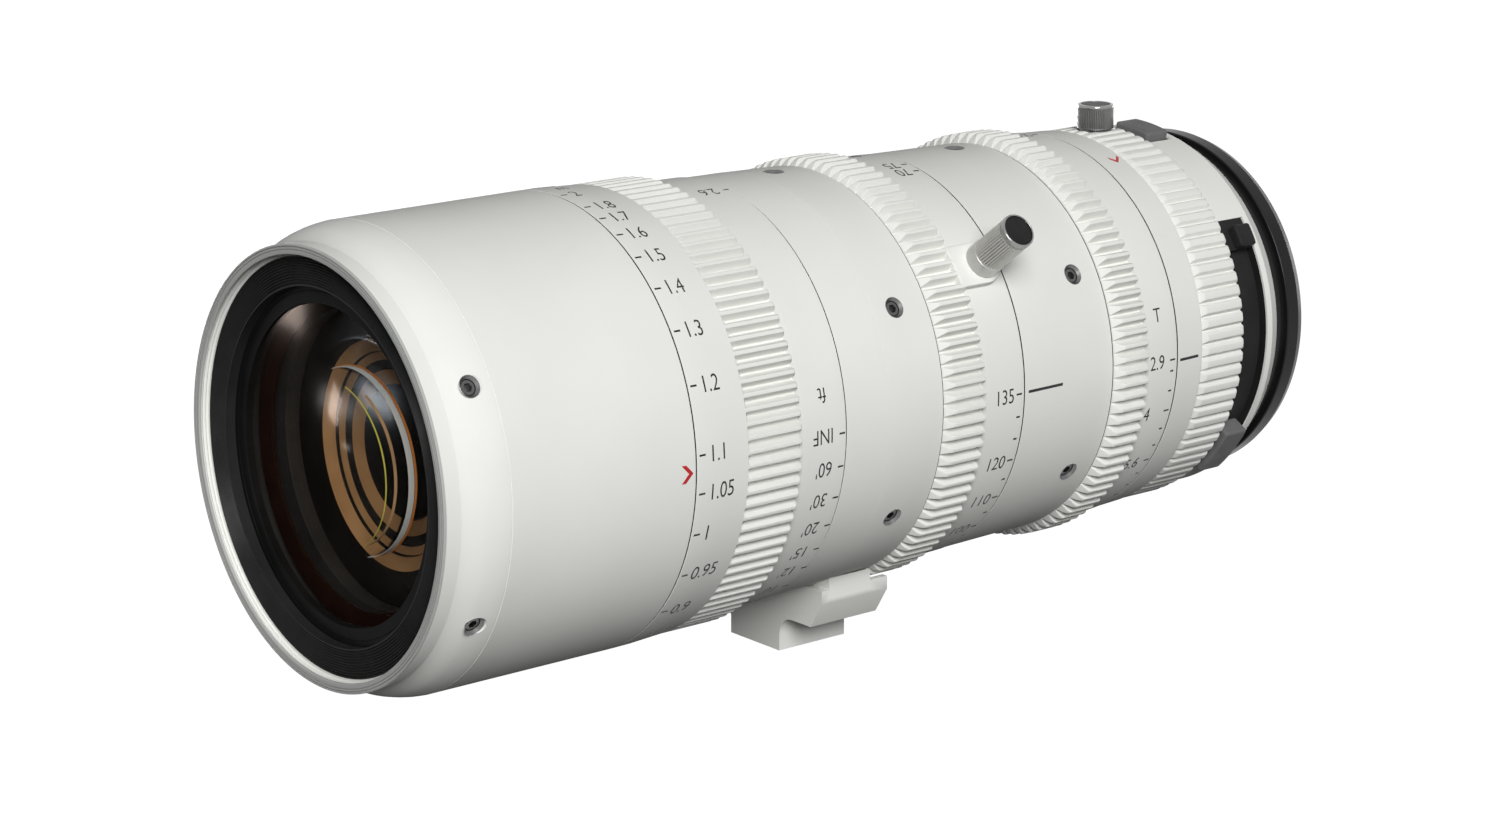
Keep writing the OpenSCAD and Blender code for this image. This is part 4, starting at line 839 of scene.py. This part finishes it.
m = outward(LEVER_PHI, LEVER_S, Z_TIP)
collar = disc_lathe("zoom_lever_collar", [(0, -0.3), (3.3, -0.3), (3.45, 0.05), (3.5, 0.25), (3.5, 2.75),
                                          (3.42, 2.95), (3.2, 3.1), (0, 3.1)], 96, m)
finish_piece(collar, "zoom_ring", knob_steel, ["zoom_lever"])
grip = knurled("zoom_lever_grip", 3.42, 3.05, 11.3, m, 40, 40, 0.24)
finish_piece(grip, "zoom_ring", knob_steel, angle=25)
rim = lathe("zoom_lever_rim", rounded([(3.05, 10.6), (3.05, 12.6, 0.08), (3.42, 12.6, 0.3),
                                       (3.46, 11.5, 0.1), (3.3, 11.2), (3.3, 10.6)]), 96, m)
finish_piece(rim, "zoom_ring", rim_steel, slot="knob_steel")
cap = disc_lathe("zoom_lever_cap", [(0, 11.0), (3.03, 11.0), (3.03, 12.3), (2.95, 12.42), (2.6, 12.45),
                                    (0, 12.45)], 96, m)
finish_piece(cap, "zoom_ring", inlay_black, ["zoom_lever_inlay"])


# Iris ring and index band

I_TEETH, I_END, I_TIP, I_BAND = 100, 165.6, 40.8, 39.25
rows = front_open_gear(S_IRIS, 39.2, I_TIP, 39.0, 159.3, I_END, I_BAND)
iris = gear_ring("iris_ring_geared", rows, I_TEETH, 0.0, I_TIP, HALF_TIP)
finish_piece(iris, "iris_ring", white, ["iris_ring"])
plain_band("iris_band", "iris_ring", [(I_BAND, I_END + 0.03), (39.22, 167.6), (39.15, 171.2)]
           + rear_edge(39.05, S_BAND - GAP))

s0, s_step = S_BAND + SETBACK, 179.48
barrel_shell("index_band", [(TUBE_R, s0), (38.95, s0, 0.05), (38.62, S_BACK, 0.3), (REAR_R, S_BACK),
                            (REAR_R, s_step), (TUBE_R, s_step)])


# Back focus ring and lock knob

RIBS, B_TIP, B_ROOT, B_EDGE, B_BORE = 88, 38.45, 37.53, 37.4, REAR_R + 0.05
s0, s1 = S_BACK + GAP, S_REAR - GAP
rows = [(s0, B_BORE, None), (s0, B_EDGE, None), (s0 + 0.05, 37.55, None)]
rows += [(s, r, B_ROOT) for s, r in ((183.1, 37.9), (184.2, 38.38), (184.6, B_TIP), (189.0, B_TIP),
                                     (193.9, B_TIP), (194.3, 38.35), (194.5, 38.1), (s1, 37.6))]
rows += [(s1, B_EDGE, None), (s1, B_BORE, None)]
back = gear_ring("back_focus_ring_ribbed", rows, RIBS, 0.0, B_TIP, 0.74, slope=28.0, bevel_w=0.2,
                 fillet=0.2)
finish_piece(back, "back_focus_ring", white, ["back_focus_ring"])

KNOB_S = S_BACK + (S_REAR - S_BACK) * 0.57
m = outward(90, KNOB_S, 38.5)
knob = knurled("lock_knob_grip", 3.7, 0.35, 4.7, m, 60, 32, 0.08)
finish_piece(knob, "lock_knob", dark_steel, angle=25)
base = disc_lathe("lock_knob_base", [(0, -4.2), (1.28, -4.2), (1.28, -0.1), (3.0, -0.1), (3.35, 0.0),
                                     (3.5, 0.4), (0, 0.4)], 96, m)
finish_piece(base, "lock_knob", dark_steel, ["lock_knob"])
rim = lathe("lock_knob_rim", rounded([(3.0, 4.3), (3.0, 5.2, 0.08), (3.66, 5.2, 0.35), (3.69, 4.6, 0.02),
                                      (3.5, 4.3)]), 96, m)
finish_piece(rim, "lock_knob", rim_steel, slot="dark_steel")
cap = disc_lathe("lock_knob_cap", [(0, 4.4), (2.98, 4.4), (2.98, 5.08), (2.9, 5.16), (0, 5.18)], 96, m)
finish_piece(cap, "lock_knob", inlay_black, ["lock_knob_inlay"])


# Rear barrel with its bridges and stops, and lock ring with its lugs, each three times round

THIRD = 120
LUG_R, LUG_IN, BRIDGE_R, BRIDGE_IN, SEAT_S = 39.4, 35.3, 37.45, 35.85, 202.2
BRIDGE_ENDS, LUG_STARTS = (75.6, 69.5, 69.5), (-48, -44, -48)
s0 = S_REAR + 0.15
seat = lathe("rear_barrel_shell", rounded([(REAR_R, SEAT_S), (BRIDGE_R, SEAT_S), (BRIDGE_R, 203.6, 0.2),
                                           (35.65, S_COLLAR, 0.2), (REAR_R, S_COLLAR)]), 360)
bridges = []
for k in range(3):
    turn = THIRD * k
    outline = rounded([(BRIDGE_IN, s0), (BRIDGE_R, s0, 0.2), (BRIDGE_R, 203.0), (BRIDGE_IN, 203.0)])
    bridges.append(arc_solid("bridge", outline, 38.5 + turn, BRIDGE_ENDS[k] + turn))
    stop = arc_solid("rear_stop_%d" % (k + 1), box_outline(36.5, LUG_R, S_REAR + 2.4, 201.5),
                     28.6 + turn, 35.5 + turn)
    bevel(stop, 0.7, 3)
    plate = arc_solid("plate", box_outline(BRIDGE_IN, 37.2, s0 + 0.1, SEAT_S - 0.1),
                      28.5 + turn, 38.6 + turn)
    bevel(plate, 0.2, 2)
    boolean(stop, [plate], "UNION")
    finish_piece(stop, "barrel", lug_black)
boolean(seat, bridges, "UNION")
finish_piece(seat, "barrel", white, ["rear_barrel"])

LOCK_BORE, LOCK_R, LOCK_REAR_S = REAR_R + 0.05, 35.5, 202.05
ring = lathe("lock_ring_shell", rounded([(LOCK_BORE, s0), (LOCK_R, s0, 0.15), (LOCK_R, LOCK_REAR_S, 0.15),
                                         (LOCK_BORE, LOCK_REAR_S)]), 360)
finish_piece(ring, "lock_ring", lug_black, ["lock_ring"])
# Lugs in the grey copy of the lug black: painted sheen
for k in range(3):
    lug = arc_solid("lock_lug_%d" % (k + 1), box_outline(LUG_IN, LUG_R, s0 + 0.2, 201.0),
                    LUG_STARTS[k] + THIRD * k, -30 + THIRD * k)
    bevel(lug, 0.7, 4)
    finish_piece(lug, "lock_ring", lug_grey, slot="lug_black")
wall = lathe("seat_wall", box_outline(LUG_IN, TUBE_R, SEAT_S - 0.1, SEAT_S + 0.04), 240)
finish_piece(wall, "barrel", black)


# Collar and mount

def mount_drill(a, drill_r=1.0, circle_r=27.6):
    """Cutter along the axis for a screw of the mount, at an angle in radians."""
    centre = Vector((circle_r * math.cos(a) * MM, -LENS * MM, circle_r * math.sin(a) * MM))
    matrix = Matrix.Translation(centre) @ Matrix.Rotation(-math.pi / 2, 4, "X")
    return disc_lathe("cutter", [(0, 211), (drill_r, 211), (drill_r, 216), (0, 216)], 24, matrix)


COLLAR_R, COLLAR_BORE, S_PLATE = 35.5, 24.9, 213.6
outline = rounded([(REAR_R, S_COLLAR), (34.4, S_COLLAR), (34.4, 210.25), (COLLAR_R, 210.25, 0.3),
                   (COLLAR_R, 213.3, 0.35), (34.75, S_FLANGE, 0.3), (COLLAR_BORE, S_FLANGE),
                   (COLLAR_BORE, S_PLATE), (REAR_R, S_PLATE)])
collar = lathe("mount_collar_shell", split_long(outline, 3.0), 360)
boolean(collar, [mount_drill(math.pi * k / 4) for k in (1, 3, 5, 7)])
finish_piece(collar, "barrel", collar_black, ["mount_collar"])


# Support foot

def foot_piece():
    """Wings that hug the barrel and a narrower block with fillets, screw holes and a thread."""
    base_r, stand, half_w, block = 40.45, 11.85, 20.0, 7.4
    s_front, s_rear, s_holes = 100.0, 116.5, 107.425
    s_step = 112.1  # the saddle ends here, in front of the zoom ring
    drop = base_r + stand
    under = base_r + 0.4 * stand
    fillet = 0.31 * stand
    half = [(half_w, base_r - 0.26 * stand), (half_w, base_r - 0.04 * stand), (0.835 * half_w, under)]
    for k in range(7):
        a = math.radians(90 - 15 * k)
        half.append((block + fillet - fillet * math.cos(a), under + fillet - fillet * math.sin(a)))
    half.append((block, drop))
    section = half + [(-x, z) for x, z in reversed(half)]

    def extrude(name, loop, s0, s1):
        n = len(loop)
        verts = [(x * MM, (s - LENS) * MM, -z * MM) for s in (s0, s1) for x, z in loop]
        ends = [tuple(reversed(range(n))), tuple(range(n, 2 * n))]
        return new_object(name, verts, quads(2, n) + ends)

    foot = extrude("support_foot_body", section, s_front, s_rear)
    top = base_r - 0.52 * stand
    saddle = extrude("saddle", [(-half_w, top), (half_w, top), (half_w, top + 0.4 * stand),
                                (-half_w, top + 0.4 * stand)], 101.8, s_step)
    boolean(foot, [saddle], "UNION")

    def cylinder(r, s_a, s_b):
        return disc_lathe("cutter", [(0, s_a), (r, s_a), (r, s_b), (0, s_b)], 360)

    boolean(foot, [cylinder(40.3, s_front - 1, s_step), cylinder(41.75, s_step, s_rear + 1.5)])
    bevel(foot, 0.3, 3)

    def drill(x, outline):
        """Cutter whose heights count downwards from the axis."""
        centre = Vector((x * MM, (s_holes - LENS) * MM, 0))
        matrix = Matrix.Translation(centre) @ Matrix.Rotation(math.pi, 4, "X")
        return disc_lathe("cutter", outline, 48, matrix)

    head_floor, minor_r, major_r, pitch, thread_top = 43.69, 2.55, 3.0, 1.27, 45.3
    screw = [(0, 30), (1.0, 30), (1.0, head_floor), (1.6, head_floor), (1.6, 50), (0, 50)]
    thread = [(0, thread_top), (minor_r, thread_top)]
    for k in range(5):
        z = thread_top + pitch * k
        thread += [(minor_r, z + 0.1), (major_r, z + 0.63), (minor_r, z + 1.17)]
    thread += [(3.2, 52.4), (3.2, 53.5), (0, 53.5)]
    boolean(foot, [drill(-12, screw), drill(12, screw), drill(0, thread)])
    return foot


finish_piece(foot_piece(), "barrel", white, ["support_foot"])


# Dark seams between the rings: (name, station, radius of the surface there, bore of the ring)

SEAMS = (("focus_front", S_FOCUS, SHELL_R, TUBE_R), ("focus_rear", S_MID_FRONT, 40.52, TUBE_R),
         ("zoom_front", S_ZOOM, 39.9, TUBE_R), ("zoom_rear", S_MID_REAR, 39.52, TUBE_R),
         ("iris_front", S_IRIS, 39.0, TUBE_R), ("iris_rear", S_BAND, 38.97, TUBE_R),
         ("back_front", S_BACK, 37.5, REAR_R), ("back_rear", S_REAR, 36.4, REAR_R))
for name, s, r, bore in SEAMS:
    if name.endswith("front"):
        s_low, s_high = s + 0.01, s + GAP - 0.02
    else:
        s_low, s_high = s - GAP + 0.02, s + 0.1
    liner = lathe("seam_" + name, box_outline(bore + 0.2, r - 0.1, s_low, s_high), 360)
    finish_piece(liner, "barrel", black)


# Scales and marks

# Profiles that the marks lie on: (station, radius)
FOCUS_FACE = ((S_FOCUS, SHELL_R), (56.0, 42.8), (62.5, 42.46), (76.6, 40.93), (80.0, 40.87), (84.0, 40.8),
              (S_MID_FRONT, 40.75))
ZOOM_FACE = ((122.2, 39.85), (124.2, 39.82), (128.8, 39.735), (S_MID_REAR, 39.62))
IRIS_FACE = ((165.6, 39.25), (167.6, 39.22), (171.2, 39.15), (S_BAND, 39.05))
BARREL_FACE = ((S_MID_FRONT, 40.5), (98.9, 40.36), (S_MID_REAR, 39.5), (145.3, 39.25), (S_IRIS, 39.0),
               (S_BAND, 38.95), (S_BACK, 38.62))

def scale(places, text_s, height, tick_s, bar, flip=False):
    """Items of a scale: a number and a tick at each (number, angle)."""
    items = []
    for text, phi in places:
        items.append(((text, height), text_s, phi, flip))
        items.append((bar, tick_s, phi, False))
    return items


metres = (("2", 86), ("1.8", 76.5), ("1.7", 70.2), ("1.6", 63), ("1.5", 54.7), ("1.4", 45), ("1.3", 33.5),
          ("1.2", 20), ("1.1", 3.5), ("1.05", -6), ("1", -16.7), ("0.95", -28.8), ("0.9", -42.2),
          ("0.85", -57), ("0.8", -74), ("2.5", 101), ("3", 114), ("4", 128), ("6", 146), ("10", 162),
          ("∞", 176))
feet = (("INF", 0.6), ("60'", -8.3), ("30'", -17.2), ("20'", -26), ("15'", -34.5), ("12'", -42.5),
        ("10'", -52.5), ("8", -66), ("7", -78), ("6", -92), ("5", -112), ("4", -136), ("3.5", -152),
        ("3", 172), ("2.6", 79.6))
marks = scale(metres, 54.5, 3.0, 52.3, (1.4, 0.36)) + scale(feet, 84.9, 2.8, 86.3, (1.3, 0.34), True)
marks += [(("ft", 2.8), 83.6, 11.3, True), (("m", 2.8), 55.0, 93.4, False)]
wrap_marks("focus_scale", marks, FOCUS_FACE, "focus_ring")

lengths = (("135", 0.2), ("120", -19.5), ("110", -32.7), ("100", -46), ("90", -63), ("80", -83), ("70", -104))
far_lengths = (("70", 75.7), ("75", 80.9), ("80", 97), ("90", 117), ("100", 134), ("110", 147.3),
               ("120", 160.5), ("135", 180.2))
marks = scale(lengths, 125.6, 2.85, 131.2, (1.4, 0.36))
for phi in (-6.3, -12.8, -26, -39.2, -51.5, -57, -69.5, -76, -90, -97):
    marks.append(((0.9, 0.36), 131.45, phi, False))
marks += scale(far_lengths, 130.3, 2.85, 131.2, (1.4, 0.36), True)
wrap_marks("zoom_scale", marks, ZOOM_FACE, "zoom_ring")

marks = []
stops = (("2.9", 0.3), ("4", -15.3), ("5.6", -33.3), ("8", -51), ("11", -66), ("16", -78), ("22", -88.5))
for side, flip, text_s, letter_s in ((0, False, 167.2, 168.9), (180, True, 172.2, 170.6)):
    marks += scale([(text, phi + side) for text, phi in stops], text_s, 2.8, 172.8, (1.4, 0.34), flip)
    for phi in (-3, -9, -21.4, -27.4, -39.2, -45.1):
        marks.append(((0.8, 0.34), 173.0, phi + side, False))
    marks.append((("T", 2.8), letter_s, 14.0 + side, flip))
wrap_marks("iris_scale", marks, IRIS_FACE, "iris_ring")

marks = []
for side in (0, 180):
    marks.append(((9.1, 0.55), 134.5, 0.2 + side, False))
    marks.append(((5.3, 0.55), 175.8, -0.4 + side, False))
wrap_marks("index_lines", marks, BARREL_FACE, "barrel")


def chevron(name, s, phi, r, length, height, width, spin=0.0):
    """Small arrow mark on a round surface, pointing rearwards before it is spun."""
    verts, faces = [], []
    steps, skin = 6, 0.03
    c, d = math.cos(math.radians(spin)), math.sin(math.radians(spin))
    for y0 in (height / 2, -height / 2):
        base = len(verts)
        for k in range(steps + 1):
            t = k / steps
            y = y0 - y0 * t
            for x in (length * t, length * t + width):
                for lift in (-skin, skin):
                    turn = math.degrees((x * d + y * c) / r)
                    verts.append(pt(s + (x * c - y * d), phi + turn, r + lift))
        for k in range(steps):
            a, b = base + 4 * k, base + 4 * (k + 1)
            for i, j in ((0, 1), (1, 3), (3, 2), (2, 0)):
                faces.append((a + i, a + j, b + j, b + i))
        faces.append((base, base + 2, base + 3, base + 1))
        e = base + 4 * steps
        faces.append((e, e + 1, e + 3, e + 2))
    finish_piece(new_object(name, verts, faces), "barrel", red_ink, angle=None, slot="inlay_black")


chevron("focus_index_front", 48.3, -0.3, 42.86, 1.6, 3.3, 0.95)
chevron("lock_index", 180.0, 68.5, 38.76, 1.5, 2.8, 0.8, spin=-90)
wrap_marks("focus_index_rear", [((3.0, 0.55), 89.0, 180.4, False)], BARREL_FACE, "barrel")


# Camera, lights and floor

scene = bpy.context.scene
scene.view_settings.view_transform = "Standard"

# Camera: focal length in pixels of the photo, direction, and place in metres
PHOTO_W, FOCAL_PX, SENSOR_W = 1500, 3743.68, 36.0
cam_data = bpy.data.cameras.new("camera")
cam = bpy.data.objects.new("camera", cam_data)
scene.collection.objects.link(cam)
cam_data.sensor_width = SENSOR_W
cam_data.sensor_fit = "HORIZONTAL"
cam_data.lens = FOCAL_PX / PHOTO_W * SENSOR_W
cam_data.clip_end = 50
forward = Vector((-0.7477, 0.6125, -0.2564)).normalized()
right = forward.cross(Vector((0, 0, 1))).normalized()
up = right.cross(forward)
cam.matrix_world = Matrix((right, up, -forward)).transposed().to_4x4()
cam.location = Vector((0.5362, -0.3405 - LENS * MM, 0.1765))
scene.camera = cam


def larger(nodes, links, first, second):
    """The larger of an output and another output or a number."""
    node = nodes.new("ShaderNodeMath")
    node.operation = "MAXIMUM"
    links.new(first, node.inputs[0])
    if isinstance(second, float):
        node.inputs[1].default_value = second
    else:
        links.new(second, node.inputs[1])
    return node.outputs[0]


def background_rays(nodes, links):
    """1 for the rays that show the white background: camera, transmission and glossy rays."""
    path = nodes.new("ShaderNodeLightPath")
    seen = larger(nodes, links, path.outputs["Is Camera Ray"], path.outputs["Is Transmission Ray"])
    return larger(nodes, links, seen, path.outputs["Is Glossy Ray"])


WORLD_FILL = 0.03
world = bpy.data.worlds.new("studio")
scene.world = world
nodes, links, out = blank_tree(world, "ShaderNodeOutputWorld")
back = nodes.new("ShaderNodeBackground")
put(back, Color=(1, 1, 1, 1))
links.new(larger(nodes, links, background_rays(nodes, links), WORLD_FILL), back.inputs["Strength"])
links.new(back.outputs[0], out.inputs["Surface"])


def area_light(name, centre, towards, distance, size, size_y, power, colour=(1, 1, 1)):
    """Rectangular lamp that stands in a direction from a centre and faces it."""
    data = bpy.data.lights.new(name, "AREA")
    data.energy = power
    data.color = colour
    data.shape = "RECTANGLE"
    data.size = size
    data.size_y = size_y
    ob = bpy.data.objects.new(name, data)
    scene.collection.objects.link(ob)
    location = centre + Vector(towards).normalized() * distance
    ob.location = location
    ob.rotation_euler = (centre - location).to_track_quat("-Z", "Y").to_euler()
    return ob


# Key lamp, and two lamps for the sides that the photo doesn't show
LAMP_DISTANCE, LAMP_SIZE = 2.5, 1.1
middle = Vector((0, -0.11, 0))
for name, towards, power in (("key", (0.748, -0.45, 0.488), 69.0),
                             ("far_side", (-0.9, 0.34, -0.22), 58.0),
                             ("camera_end", (-0.3, 0.94, -0.16), 24.0)):
    area_light(name, middle, towards, LAMP_DISTANCE, LAMP_SIZE, LAMP_SIZE, power)

# Soft windows that show in the glass alone
WINDOW_DISTANCE = 2.2
glass_centre = Vector((0, -LENS * MM, 0))
glasses = bpy.data.collections.new("glasses")
for piece in (group, element):
    glasses.objects.link(piece)
for name, towards, size, power, colour in (
        ("window_left", (-0.915, -0.4, -0.03), 0.42, 135.0, (1.0, 0.93, 0.9)),
        ("window_right", (-0.79, -0.59, -0.2), 0.26, 42.0, (0.85, 0.93, 1.0))):
    window = area_light(name, glass_centre, towards, WINDOW_DISTANCE, size, size * 0.7, power, colour)
    window.visible_diffuse = False
    window.visible_transmission = False
    window.data.cycles.use_multiple_importance_sampling = False
    window.light_linking.receiver_collection = glasses

# Floor that shows white and keeps the object's shadow
FLOOR_HALF, FLOOR_Z = 6, -0.4
corners = [(x * FLOOR_HALF, y * FLOOR_HALF, FLOOR_Z) for x, y in ((-1, -1), (1, -1), (1, 1), (-1, 1))]
floor = new_object("floor", corners, [(0, 1, 2, 3)])
mat = bpy.data.materials.new("floor")
nodes, links, out = blank_tree(mat, "ShaderNodeOutputMaterial")
diffuse = nodes.new("ShaderNodeBsdfDiffuse")
put(diffuse, Color=(0.12, 0.12, 0.12, 1))
plain = nodes.new("ShaderNodeEmission")
put(plain, Color=(1, 1, 1, 1))
links.new(background_rays(nodes, links), plain.inputs["Strength"])
both = nodes.new("ShaderNodeAddShader")
links.new(diffuse.outputs[0], both.inputs[0])
links.new(plain.outputs[0], both.inputs[1])
links.new(both.outputs[0], out.inputs["Surface"])
floor.data.materials.append(mat)
